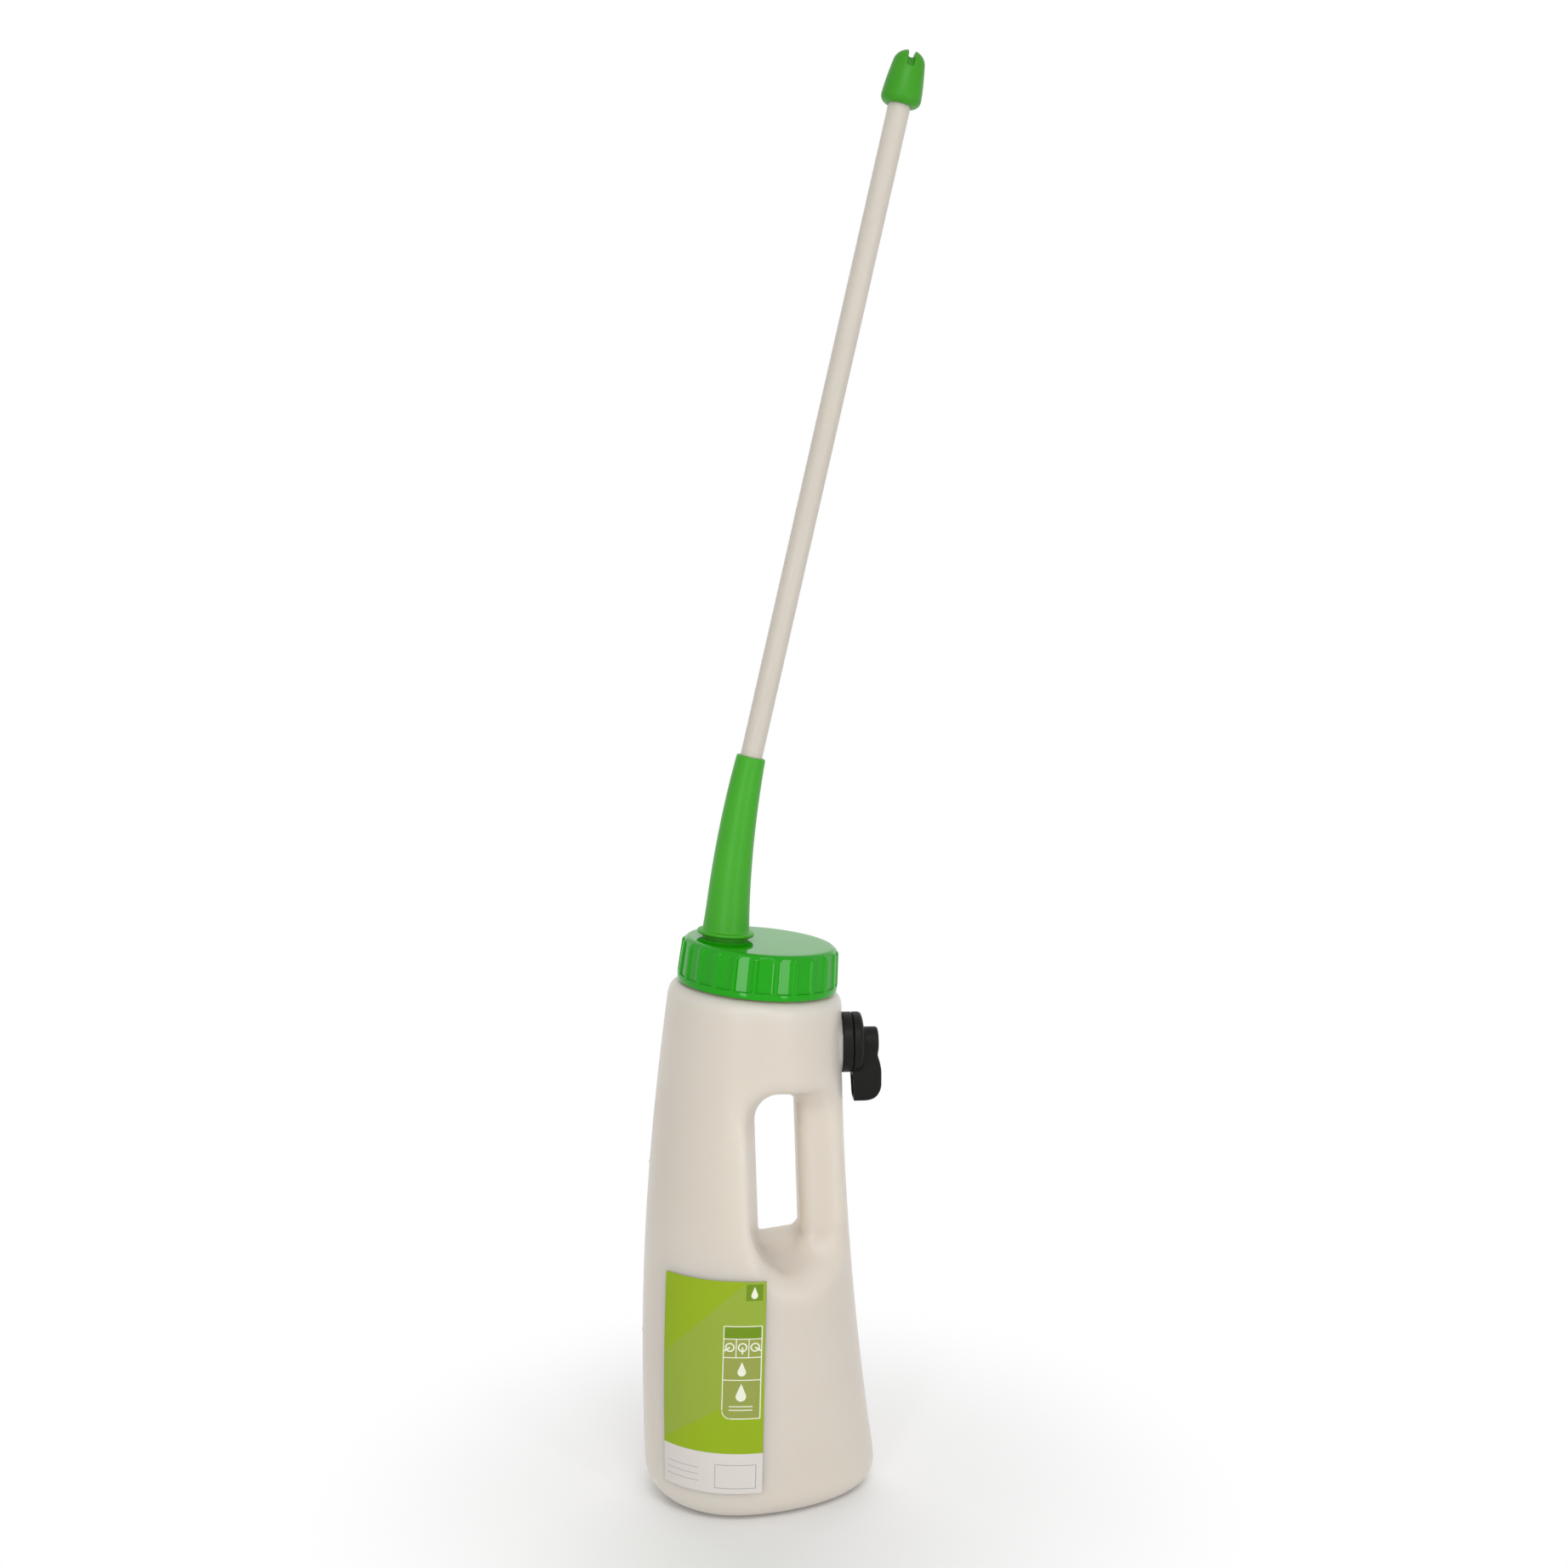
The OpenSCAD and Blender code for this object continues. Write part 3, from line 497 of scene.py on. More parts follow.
def math_node(tree, operation, *values):
    made = tree.nodes.new("ShaderNodeMath")
    made.operation = operation
    for socket, value in zip(made.inputs, values):
        feed(tree, socket, value)
    return made.outputs[0]


def mix_colour(tree, factor, a, b):
    made = tree.nodes.new("ShaderNodeMix")
    made.data_type = "RGBA"
    feed(tree, made.inputs[0], factor)
    feed(tree, made.inputs[6], a)
    feed(tree, made.inputs[7], b)
    return made.outputs[2]


def new_group(name, inputs, outputs):
    """An empty shader node group with named sockets."""
    tree = bpy.data.node_groups.new(name, "ShaderNodeTree")
    for label, kind, default in inputs:
        socket = tree.interface.new_socket(name=label, in_out="INPUT", socket_type=kind)
        socket.default_value = default
    for label, kind in outputs:
        tree.interface.new_socket(name=label, in_out="OUTPUT", socket_type=kind)
    return tree, tree.nodes.new("NodeGroupInput").outputs, tree.nodes.new("NodeGroupOutput").inputs


def new_material(name):
    """A node material with its tree and its shader."""
    material = bpy.data.materials.new(name)
    material.use_nodes = True
    return material, material.node_tree, material.node_tree.nodes["Principled BSDF"]


def moulded_surface():
    """Group: cloudy tint, roughness patches, fine grain and rubbed scratches of moulded plastic."""
    name = "Moulded surface"
    if name in bpy.data.node_groups:
        return bpy.data.node_groups[name]
    colour, value = "NodeSocketColor", "NodeSocketFloat"
    tree, take, give = new_group(name, [
        ("Colour", colour, (1, 1, 1, 1)), ("Shade", colour, (0.8, 0.8, 0.8, 1)),
        ("Cloud Scale", value, 20.0), ("Cloud Amount", value, 0.3),
        ("Grain Scale", value, 900.0), ("Scratch Amount", value, 0.3),
        ("Gloss", value, 0.35), ("Gloss Spread", value, 0.1)],
        [("Colour", colour), ("Roughness", value), ("Height", value)])
    place = node(tree, "ShaderNodeTexCoord").outputs["Object"]
    cloud = node(tree, "ShaderNodeTexNoise", Vector=place, Scale=take["Cloud Scale"],
                 Detail=3.0, Roughness=0.55).outputs[0]
    soft = node(tree, "ShaderNodeMapRange", Value=cloud, From_Min=0.35, From_Max=0.7).outputs[0]
    amount = math_node(tree, "MULTIPLY", soft, take["Cloud Amount"])
    grain = node(tree, "ShaderNodeTexNoise", Vector=place, Scale=take["Grain Scale"],
                 Detail=2.0, Roughness=0.6).outputs[0]
    stretched = node(tree, "ShaderNodeMapping", Vector=place, Scale=(160.0, 160.0, 22.0),
                     Rotation=(0.3, 0.5, 0.2)).outputs[0]
    streak = node(tree, "ShaderNodeTexNoise", Vector=stretched, Scale=1.0, Detail=4.0,
                  Roughness=0.7).outputs[0]
    scratch = node(tree, "ShaderNodeMapRange", Value=streak, From_Min=0.62, From_Max=0.72).outputs[0]
    rubbed = math_node(tree, "MULTIPLY", scratch, take["Scratch Amount"])
    tree.links.new(mix_colour(tree, amount, take["Colour"], take["Shade"]), give["Colour"])
    spread = math_node(tree, "MULTIPLY_ADD", soft, take["Gloss Spread"], take["Gloss"])
    tree.links.new(math_node(tree, "MULTIPLY_ADD", rubbed, 0.25, spread), give["Roughness"])
    height = math_node(tree, "MULTIPLY_ADD", rubbed, -0.6, grain)
    tree.links.new(height, give["Height"])
    return tree


def toned(colour, level):
    return [level * c for c in colour[:3]] + [1]


def plastic(name, colour, shade, gloss, grain=900.0, bump=0.05, cloud=(20.0, 0.3), scratch=0.3,
            spread=0.1, **sockets):
    """A moulded plastic from the shared surface group, with plain sockets on its shader."""
    material, tree, shader = new_material(name)
    surface = tree.nodes.new("ShaderNodeGroup")
    surface.node_tree = moulded_surface()
    for label, value in (("Colour", colour), ("Shade", shade), ("Cloud Scale", cloud[0]),
                         ("Cloud Amount", cloud[1]), ("Grain Scale", grain),
                         ("Scratch Amount", scratch), ("Gloss", gloss), ("Gloss Spread", spread)):
        surface.inputs[label].default_value = value
    tree.links.new(surface.outputs["Colour"], shader.inputs["Base Color"])
    tree.links.new(surface.outputs["Roughness"], shader.inputs["Roughness"])
    dent = node(tree, "ShaderNodeBump", Strength=bump, Distance=0.0006,
                Height=surface.outputs["Height"])
    tree.links.new(dent.outputs[0], shader.inputs["Normal"])
    for label, value in sockets.items():
        shader.inputs[label.replace("_", " ")].default_value = value
    return material


def polyethylene(name, look, depth):
    """Ivory polyethylene that light enters to a depth in metres, or not at all where it is thin."""
    return plastic(name, look.colour, look.shade, 0.3, grain=700.0, bump=0.03, cloud=(14.0, 0.35),
                   scratch=0.05, Subsurface_Weight=0.9 if depth else 0, Subsurface_Scale=depth,
                   Subsurface_Radius=(1.0, 0.9, 0.75), Specular_IOR_Level=0.4)


class Ink:
    """Masks of printed marks, in millimetres from a label's lower front corner."""

    def __init__(self, tree, wide, high):
        self.tree = tree
        place = node(tree, "ShaderNodeUVMap", uv_map="print").outputs[0]
        parts = node(tree, "ShaderNodeSeparateXYZ", Vector=place).outputs
        self.u = self.math("MULTIPLY", parts[0], wide)
        self.v = self.math("MULTIPLY", parts[1], high)

    def math(self, operation, *values):
        return math_node(self.tree, operation, *values)

    def within(self, value, low, high):
        return self.math("MULTIPLY", self.math("GREATER_THAN", value, low),
                         self.math("LESS_THAN", value, high))

    def either(self, *masks):
        total = masks[0]
        for mask in masks[1:]:
            total = self.math("MAXIMUM", total, mask)
        return total

    def both(self, a, b):
        return self.math("MULTIPLY", a, b)

    def without(self, a, b):
        """One mask less another that lies within it."""
        return self.math("SUBTRACT", a, b)

    def box(self, left, right, low, high):
        return self.both(self.within(self.u, left, right), self.within(self.v, low, high))

    def distance(self, x, y):
        return self.math("SQRT", self.math(
            "ADD", self.math("POWER", self.math("SUBTRACT", self.u, x), 2.0),
            self.math("POWER", self.math("SUBTRACT", self.v, y), 2.0)))

    def disc(self, x, y, radius):
        return self.math("LESS_THAN", self.distance(x, y), radius)

    def ring(self, x, y, radius, width):
        return self.within(self.distance(x, y), radius - width / 2, radius + width / 2)

    def above(self, x, y, slope):
        """The side above a straight line through a point."""
        line = self.math("MULTIPLY_ADD", self.u, slope, y - slope * x)
        return self.math("GREATER_THAN", self.v, line)

    def stroke(self, x, y, turn, reach, width):
        """A straight stroke from a point, at a turn in degrees."""
        c, s = math.cos(math.radians(turn)), math.sin(math.radians(turn))
        du, dv = self.math("SUBTRACT", self.u, x), self.math("SUBTRACT", self.v, y)
        along = self.math("MULTIPLY_ADD", du, c, self.math("MULTIPLY", dv, s))
        across = self.math("MULTIPLY_ADD", du, -s, self.math("MULTIPLY", dv, c))
        return self.both(self.within(along, 0.0, reach), self.within(across, -width / 2, width / 2))

    def drop(self, x, y, radius):
        """A drop: a disc with a pointed top."""
        top = y + 2.6 * radius
        side = self.math("ABSOLUTE", self.math("SUBTRACT", self.u, x))
        room = self.math("MULTIPLY", self.math("SUBTRACT", top, self.v), 0.42)
        tent = self.both(self.math("LESS_THAN", side, room),
                         self.math("GREATER_THAN", self.v, y + 0.35 * radius))
        return self.either(self.disc(x, y, radius), tent)


def label_film(look):
    """Printed film: a green panel with a paler band, a table of valve positions and a white strip."""
    material = plastic("Printed label film", look.panel, look.panel, 0.34, grain=500.0, bump=0.02,
                       scratch=0.3, Specular_IOR_Level=0.14)
    tree = material.node_tree
    ink = Ink(tree, LABEL_FLAT_WIDTH, LABEL_TOP - LABEL_BOTTOM)
    strip_top = 24.2
    left, right, foot, top = 40.0, 61.6, 45.5, 101.0
    header, cells, picture, curve, line = 93.5, 82.4, 68.8, 5.0, 0.55
    band = ink.both(ink.above(0, 27.0, 0.62), ink.without(1.0, ink.above(0, 78.0, 0.95)))
    corner = ink.box(left, left + curve, foot, foot + curve)
    table = ink.without(ink.box(left, right, foot, top), ink.both(
        corner, ink.without(1.0, ink.disc(left + curve, foot + curve, curve))))
    third = (right - left) / 3
    lines = [ink.box(left, right, y - line / 2, y + line / 2) for y in (top, header, cells, picture)]
    lines += [ink.box(left + curve, right, foot - line / 2, foot + line / 2),
              ink.box(left - line / 2, left + line / 2, foot + curve, top),
              ink.box(right - line / 2, right + line / 2, foot, top),
              ink.both(corner, ink.ring(left + curve, foot + curve, curve, line))]
    lines += [ink.box(x - line / 2, x + line / 2, cells, header) for x in (left + third, right - third)]
    for k, turn in enumerate((215, 270, 325)):
        x, y = left + (k + 0.5) * third, (cells + header) / 2 + 0.6
        lines += [ink.ring(x, y, 2.3, 0.8), ink.stroke(x, y, turn, 4.0, 0.9)]
    middle = (left + right) / 2
    lines += [ink.drop(middle, 73.6, 2.4), ink.drop(middle, 59.0, 3.0)]
    lines += [ink.box(left + 4, right - 4, y, y + 0.6) for y in (50.5, 52.6)]
    lines += [ink.drop(56.7, 119.4, 2.0)]
    dark = ink.either(ink.box(left, right, header, top), ink.box(51.8, 61.6, 116.2, 126.0))
    colour = mix_colour(tree, band, look.panel, look.band)
    colour = mix_colour(tree, table, colour, look.cells)
    colour = mix_colour(tree, dark, colour, look.dark)
    colour = mix_colour(tree, ink.either(*lines), colour, look.line)
    white = ink.math("LESS_THAN", ink.v, strip_top)
    ruled = [ink.box(3, 26, y, y + 0.35) for y in (6.0, 10.0, 14.0)]
    ruled += [ink.without(ink.box(36.5, 60.5, 3.0, 17.5), ink.box(36.9, 60.1, 3.4, 17.1))]
    paper = mix_colour(tree, ink.either(*ruled), look.strip, toned(look.strip, 0.55))
    tree.links.new(mix_colour(tree, white, colour, paper),
                   tree.nodes["Principled BSDF"].inputs["Base Color"])
    return material


# Settings

def length(label, about, default):
    return bpy.props.FloatProperty(name=label, description=about, default=default,
                                   subtype="DISTANCE", unit="LENGTH")


def angle(label, about, degrees):
    return bpy.props.FloatProperty(name=label, description=about, default=math.radians(degrees),
                                   subtype="ANGLE", unit="ROTATION")


def tint(label, about, default):
    return bpy.props.FloatVectorProperty(name=label, description=about, default=default,
                                         subtype="COLOR", size=4, min=0, max=1)


class DrencherBottle(bpy.types.PropertyGroup):
    """Blown bottle"""
    colour: tint("Colour", "Colour of the blown plastic", (0.69, 0.635, 0.565, 1))
    shade: tint("Shade", "Colour of its cloudy patches", (0.655, 0.6, 0.525, 1))
    edge: length("Edge softness", "Rounding where the scoop meets the outside", 8 * MM)
    depth: length("Light depth", "How deep light enters the wall", 26 * MM)
    cell: length("Mesh size", "Size of the mesh's faces", 1.75 * MM)
    seam: length("Seam height", "Height of the mould's parting line", 0.16 * MM)


class DrencherLabel(bpy.types.PropertyGroup):
    """Printed label"""
    panel: tint("Panel", "Main green of the label", (0.285, 0.415, 0.012, 1))
    band: tint("Band", "Paler diagonal band", (0.29, 0.395, 0.045, 1))
    dark: tint("Dark", "Dark green of the header and the square", (0.16, 0.27, 0.012, 1))
    cells: tint("Cells", "Olive of the table's cells", (0.30, 0.34, 0.075, 1))
    line: tint("Lines", "Colour of the lines and marks", (0.80, 0.82, 0.66, 1))
    strip: tint("Strip", "White strip below the panel", (0.68, 0.64, 0.605, 1))


class DrencherTube(bpy.types.PropertyGroup):
    """Feeding tube"""
    colour: tint("Colour", "Colour of the drawn plastic", (0.63, 0.585, 0.52, 1))
    shade: tint("Shade", "Colour of its cloudy patches", (0.6, 0.555, 0.485, 1))
    depth: length("Light depth", "How deep light enters the wall", 2 * MM)


class DrencherCap(bpy.types.PropertyGroup):
    """Cap, spout and tip"""
    cap: tint("Cap colour", "Colour of the screw cap", (0.008, 0.35, 0.001, 1))
    spout: tint("Spout colour", "Colour of the spout", (0.045, 0.365, 0.011, 1))
    tip: tint("Tip colour", "Colour of the probe tip", (0.046, 0.31, 0.013, 1))
    cell: length("Mesh size", "Size of the tip's mesh faces", 0.45 * MM)


class DrencherValve(bpy.types.PropertyGroup):
    """Air valve and seals"""
    colour: tint("Colour", "Colour of the collar and the knob", (0.007, 0.007, 0.0055, 1))
    seal: tint("Seal colour", "Colour of the seals", (0.07, 0.07, 0.075, 1))
    cell: length("Mesh size", "Size of the knob's mesh faces", 0.5 * MM)


class DrencherStage(bpy.types.PropertyGroup):
    """Floor, light and camera"""
    floor: tint("Floor colour", "Colour of the floor", (0.92, 0.92, 0.92, 1))
    light: bpy.props.FloatProperty(name="Room light", description="Level of the light all round",
                                   default=0.47)
    lens: bpy.props.FloatProperty(name="Lens", description="Focal length in millimetres",
                                  default=42.95)
    height: length("Camera height", "Height of the camera above the floor", 556.5 * MM)
    away: length("Camera distance", "Distance of the camera from the origin", 1093.7 * MM)
    side: length("Camera offset", "Offset of the camera to the right", 2.83 * MM)
    yaw: angle("Camera turn", "Turn of the camera about the object", 4)
    dip: angle("Camera dip", "How far the camera looks down", 6.53)


# Operators

class DRENCHER_OT_bottle(bpy.types.Operator):
    """Blown bottle with its grip, neck, thread and parting line"""
    bl_idname = "drencher.bottle"
    bl_label = "Bottle"

    def execute(self, context):
        look = context.scene.drencher_bottle

        def field(x, y, z):
            return bottle_field(x, y, z, look.edge / MM)

        points, faces = surface_net(field, BOTTLE_LOW, BOTTLE_HIGH, look.cell / MM)
        on_neck = in_neck(*points.T)[1][faces].min(axis=1) > NECK_SPLIT
        ridge = thread(NECK_RADIUS, NECK_RADIUS + THREAD_DEPTH, NECK_THREAD)
        height = look.seam / MM
        front = self.seam(math.pi, BODY_HEIGHT - SHOULDER_ROUND, height, SEAM_PIPS)
        back = self.seam(0, VALVE_HEIGHT - VALVE_RADIUS, height, ())
        add_mesh("bottle_skin", *cut_out(points, faces[~on_neck]),
                 polyethylene("Blown polyethylene", look, look.depth), "bottle", "bottle",
                 "bottle_plastic")
        add_mesh("bottle_neck", *merged(cut_out(points, faces[on_neck]), ridge, front, back),
                 polyethylene("Thin polyethylene", look, 0), "bottle", "bottle", "bottle_plastic")
        return {"FINISHED"}

    def seam(self, turn, high, height, pips):
        """Parting line of the mould up the body's side, with small pips on it."""
        steps = int(high - BASE_ROUND)
        points = []
        for z in np.linspace(BASE_ROUND, high, steps + 1):
            swell = sum(math.exp(-((z - pip) / 1.1) ** 2) for pip in pips)
            half, crest = SEAM_WIDTH / 2 + 0.3 * swell, height + PIP_HEIGHT * swell
            for y, out in ((-half, -0.4), (half, -0.4), (0.4 * half, crest), (-0.4 * half, crest)):
                x, _, level = skin_point(z, out, turn)
                points.append((x, y, level))
        return np.array(points), bar_faces(steps + 1)


class DRENCHER_OT_label(bpy.types.Operator):
    """Printed label on the bottle's side"""
    bl_idname = "drencher.label"
    bl_label = "Label"

    def execute(self, context):
        rows = columns = LABEL_CELLS
        across, up = np.meshgrid(np.linspace(0, 1, columns + 1), np.linspace(0, 1, rows + 1))
        place = np.stack([across.ravel(), up.ravel()], axis=1)
        points = [skin_point(mix(LABEL_BOTTOM, LABEL_TOP, v), out,
                             math.radians(mix(LABEL_START, LABEL_END, u)))
                  for out in (LABEL_GAP + LABEL_THICK, LABEL_GAP) for u, v in place]
        piece = add_mesh("label_print", points, self.faces(rows, columns),
                         label_film(context.scene.drencher_label), "bottle", "label", "label_film",
                         sharp=40)
        mesh = piece.data
        corner = np.zeros(len(mesh.loops), np.int32)
        mesh.loops.foreach_get("vertex_index", corner)
        both = np.concatenate([place, place])
        layer = mesh.uv_layers.new(name="print")
        layer.uv.foreach_set("vector", both[corner].astype(np.float32).ravel())
        return {"FINISHED"}

    def faces(self, rows, columns):
        """The outside, the inside and the cut edge of a thin sheet."""
        wide, half = columns + 1, (rows + 1) * (columns + 1)
        faces = []
        for i in range(rows):
            for j in range(columns):
                a = i * wide + j
                faces += [(a, a + 1, a + wide + 1, a + wide),
                          (half + a, half + a + wide, half + a + wide + 1, half + a + 1)]
        border = ([j for j in range(columns)] + [i * wide + columns for i in range(rows)]
                  + [rows * wide + j for j in range(columns, 0, -1)]
                  + [i * wide for i in range(rows, 0, -1)])
        for a, b in zip(border, border[1:] + border[:1]):
            faces.append((b, a, half + a, half + b))
        return faces


class DRENCHER_OT_screw_cap(bpy.types.Operator):
    """Ribbed screw cap with its inner thread"""
    bl_idname = "drencher.screw_cap"
    bl_label = "Screw cap"

    def execute(self, context):
        look = context.scene.drencher_cap
        green = plastic("Glossy green plastic", look.cap, toned(look.cap, 0.8), 0.16,
                        grain=1200.0, bump=0.02, cloud=(30.0, 0.25), scratch=0.25, spread=0.05,
                        Specular_IOR_Level=0.0, Coat_Weight=1.0, Coat_IOR=1.31, Coat_Roughness=0.03)
        ridge = thread(CAP_BORE, CAP_BORE - THREAD_DEPTH, NECK_THREAD - THREAD_PITCH / 2)
        add_mesh("cap_shell", *merged(self.shell(), ridge), green, "cap", "screw_cap",
                 "cap_plastic", sharp=SHARP_EDGE)
        return {"FINISHED"}

    def columns(self):
        """Turns about the axis, with how far a rib stands out there and how flat a panel lies."""
        pitch = 2 * math.pi * CAP_RADIUS / RIB_COUNT
        half, soft = RIB_WIDTH / 2, 0.35
        steps = [half + soft, half, half - soft, half / 3]
        spots = [-s for s in steps] + [0] + steps[::-1]
        free = pitch - 2 * (half + soft)
        spots += [half + soft + free * k / 6 for k in range(1, 6)]
        rib = [float(ease((half + soft - abs(s)) / (2 * soft))) for s in spots]
        turn = [RIB_TURN + 2 * math.pi * k / RIB_COUNT + s / CAP_RADIUS
                for k in range(RIB_COUNT) for s in spots]
        edge = math.cos((pitch / 2 - half - soft) / CAP_RADIUS)
        flat = [1 if abs(s) < half + soft else edge / math.cos((pitch / 2 - s) / CAP_RADIUS)
                for s in spots]
        return [np.array(row) for row in (turn, rib * RIB_COUNT, flat * RIB_COUNT)]

    def shell(self):
        """Outside with ribs, then over the top into the spout's hole and back along the inside."""
        turn, rib, flat = self.columns()
        foot, head = RIM_GAP + CAP_BAND, CAP_CROWN - CAP_ROUND
        panel, top = CAP_RADIUS - RIB_DEPTH, CAP_RADIUS - CAP_DRAFT - RIB_DEPTH
        outside = [(CAP_BORE + 0.4, RIM_GAP, 0), (CAP_RADIUS - 0.5, RIM_GAP, 0),
                   (CAP_RADIUS - 0.15, RIM_GAP + 0.15, 0), (CAP_RADIUS, RIM_GAP + 0.5, 0),
                   (CAP_RADIUS, foot - 0.4, 0), (CAP_RADIUS - 0.12, foot - 0.12, 0),
                   (CAP_RADIUS - 0.4, foot, 0.2), (panel, foot + 0.15, 0.9)]
        outside += [(mix(panel, top, k / 8), mix(foot + 0.6, head, k / 8), 0.95) for k in range(9)]
        outside += [(r, z, 0.95 * float(ease((head + 2.6 - z) / 2.6)))
                    for r, z in arc(top - CAP_ROUND, head, CAP_ROUND, 0, 90, 9)[1:]]
        rings = [self.ring(0, r * mix(1, flat, ribbed > 0.5) + ribbed * RIB_DEPTH * rib, turn, z)
                 for r, z, ribbed in outside]
        rim = self.ring(0, top - CAP_ROUND, turn, CAP_CROWN)
        mouth = self.ring(-SPOUT_OFFSET, SPOUT_HOLE, turn, CAP_CROWN)
        rings += [mix(rim, mouth, s) for s in (0.1, 0.3, 0.6, 1.0)]
        below = self.ring(-SPOUT_OFFSET, SPOUT_HOLE, turn, CAP_UNDER)
        wall = self.ring(0, CAP_BORE, turn, CAP_UNDER)
        rings += [mix(below, wall, s) for s in (0.0, 0.4, 0.8, 1.0)]
        rings += [self.ring(0, CAP_BORE, turn, z) for z in (CAP_UNDER - 8, RIM_GAP + 0.4)]
        points = np.concatenate(rings)
        return to_neck(*points.T), ring_faces(len(rings), len(turn), closed_rows=True)

    def ring(self, middle, radius, turn, height):
        return np.stack([middle + radius * np.cos(turn), radius * np.sin(turn),
                         np.full(len(turn), height)], axis=1)


class DRENCHER_OT_spout(bpy.types.Operator):
    """Curved, tapered spout that is clipped into the cap"""
    bl_idname = "drencher.spout"
    bl_label = "Spout"

    def execute(self, context):
        look = context.scene.drencher_cap
        green = plastic("Satin green plastic", look.spout, toned(look.spout, 0.82), 0.38,
                        grain=1000.0, bump=0.05, cloud=(26.0, 0.3), scratch=0.35, spread=0.08,
                        Specular_IOR_Level=0.33)
        add_mesh("spout_body", *swept(self.stem() + self.bend() + self.socket()), green, "cap",
                 "spout", "spout_plastic", sharp=SHARP_EDGE)
        return {"FINISHED"}

    def stem(self):
        """Flange below the cap, neck in its hole and bead above it."""
        flange, base = SPOUT_HOLE + 3.2, CAP_UNDER - SPOUT_FLANGE
        low = [(SPOUT_PASSAGE, base), (flange - 0.4, base), (flange, base + 0.4), (flange, CAP_UNDER),
               (SPOUT_HOLE - FIT_GAP, CAP_UNDER), (SPOUT_HOLE - FIT_GAP, CAP_CROWN),
               (SPOUT_FOOT, CAP_CROWN), (SPOUT_FOOT, CAP_CROWN + BEAD_LIFT)]
        half, top = BEAD_HEIGHT / 2, CAP_CROWN + BEAD_LIFT + BEAD_HEIGHT
        low += arc(BEAD_RADIUS - half, top - half, half, -90, 180, 10)
        low += [(SPOUT_FOOT + 0.9, top), (SPOUT_FOOT + 0.55, top + 0.25)]
        return [(to_neck(-SPOUT_OFFSET, 0.0, h), NECK_LEAN, r) for r, h in low]

    def bend(self):
        """Tapered outside from the bead to the rounded lip."""
        rows, bead = [], BEAD_LIFT + BEAD_HEIGHT
        for t in np.linspace(bead + 0.8, SPOUT_LENGTH - 1, 42):
            flare = 0.55 * math.exp(-(t - bead) / 7)
            rows.append((*spout_line(t), mix(SPOUT_FOOT, SPOUT_MOUTH, t / SPOUT_LENGTH) + flare))
        rows += [(*spout_line(SPOUT_LENGTH - 1 + h), r)
                 for r, h in arc(SPOUT_MOUTH - 1, 0, 1, 0, 90, 5)[1:]]
        return rows

    def socket(self):
        """Inside of the mouth that the tube is pushed into, and the passage below it."""
        rows = [(along_tube(h), TUBE_LEAN, r)
                for r, h in ((TUBE_RADIUS + 0.4, 0), (TUBE_RADIUS + FIT_GAP, -0.4),
                             (TUBE_RADIUS + FIT_GAP, -TUBE_IN_SPOUT), (TUBE_BORE, -TUBE_IN_SPOUT),
                             (TUBE_BORE, -0.55 * SPOUT_LENGTH))]
        return rows + [(*spout_line(0.4 * SPOUT_LENGTH), SPOUT_PASSAGE),
                       (*spout_line(0.1 * SPOUT_LENGTH), SPOUT_PASSAGE)]


class DRENCHER_OT_feeding_tube(bpy.types.Operator):
    """Stiff feeding tube"""
    bl_idname = "drencher.feeding_tube"
    bl_label = "Feeding tube"

    def execute(self, context):
        look = context.scene.drencher_tube
        low, high = -TUBE_IN_SPOUT, TUBE_VISIBLE + TUBE_IN_TIP
        outside = [(TUBE_RADIUS, h) for h in np.linspace(low, high, 40)]
        inside = [(TUBE_BORE, h) for h in np.linspace(high, low, 20)]
        rows = [(along_tube(h), TUBE_LEAN, r) for r, h in outside + inside]
        add_mesh("tube_body", *swept(rows), polyethylene("Drawn polyethylene", look, look.depth),
                 "cap", "feeding_tube", "tube_plastic", sharp=SHARP_EDGE)
        return {"FINISHED"}


class DRENCHER_OT_probe_tip(bpy.types.Operator):
    """Rounded probe tip with its outlet and relief slot"""
    bl_idname = "drencher.probe_tip"
    bl_label = "Probe tip"

    def execute(self, context):
        look = context.scene.drencher_cap
        green = plastic("Satin tip plastic", look.tip, toned(look.tip, 0.82), 0.34,
                        grain=1100.0, bump=0.04, cloud=(40.0, 0.3), scratch=0.4, spread=0.08,
                        Specular_IOR_Level=0.2)
        points, faces = surface_net(tip_field, (-14, -14, -2), (14, 14, TIP_LENGTH + 2),
                                    look.cell / MM)
        x, y, z = points.T
        c, s = math.cos(TUBE_LEAN), math.sin(TUBE_LEAN)
        foot = along_tube(TUBE_VISIBLE)
        placed = np.stack([foot[0] + x * c + z * s, y, foot[2] - x * s + z * c], axis=1)
        add_mesh("tip_body", placed, faces, green, "cap", "probe_tip", "tip_plastic", sharp=70)
        return {"FINISHED"}


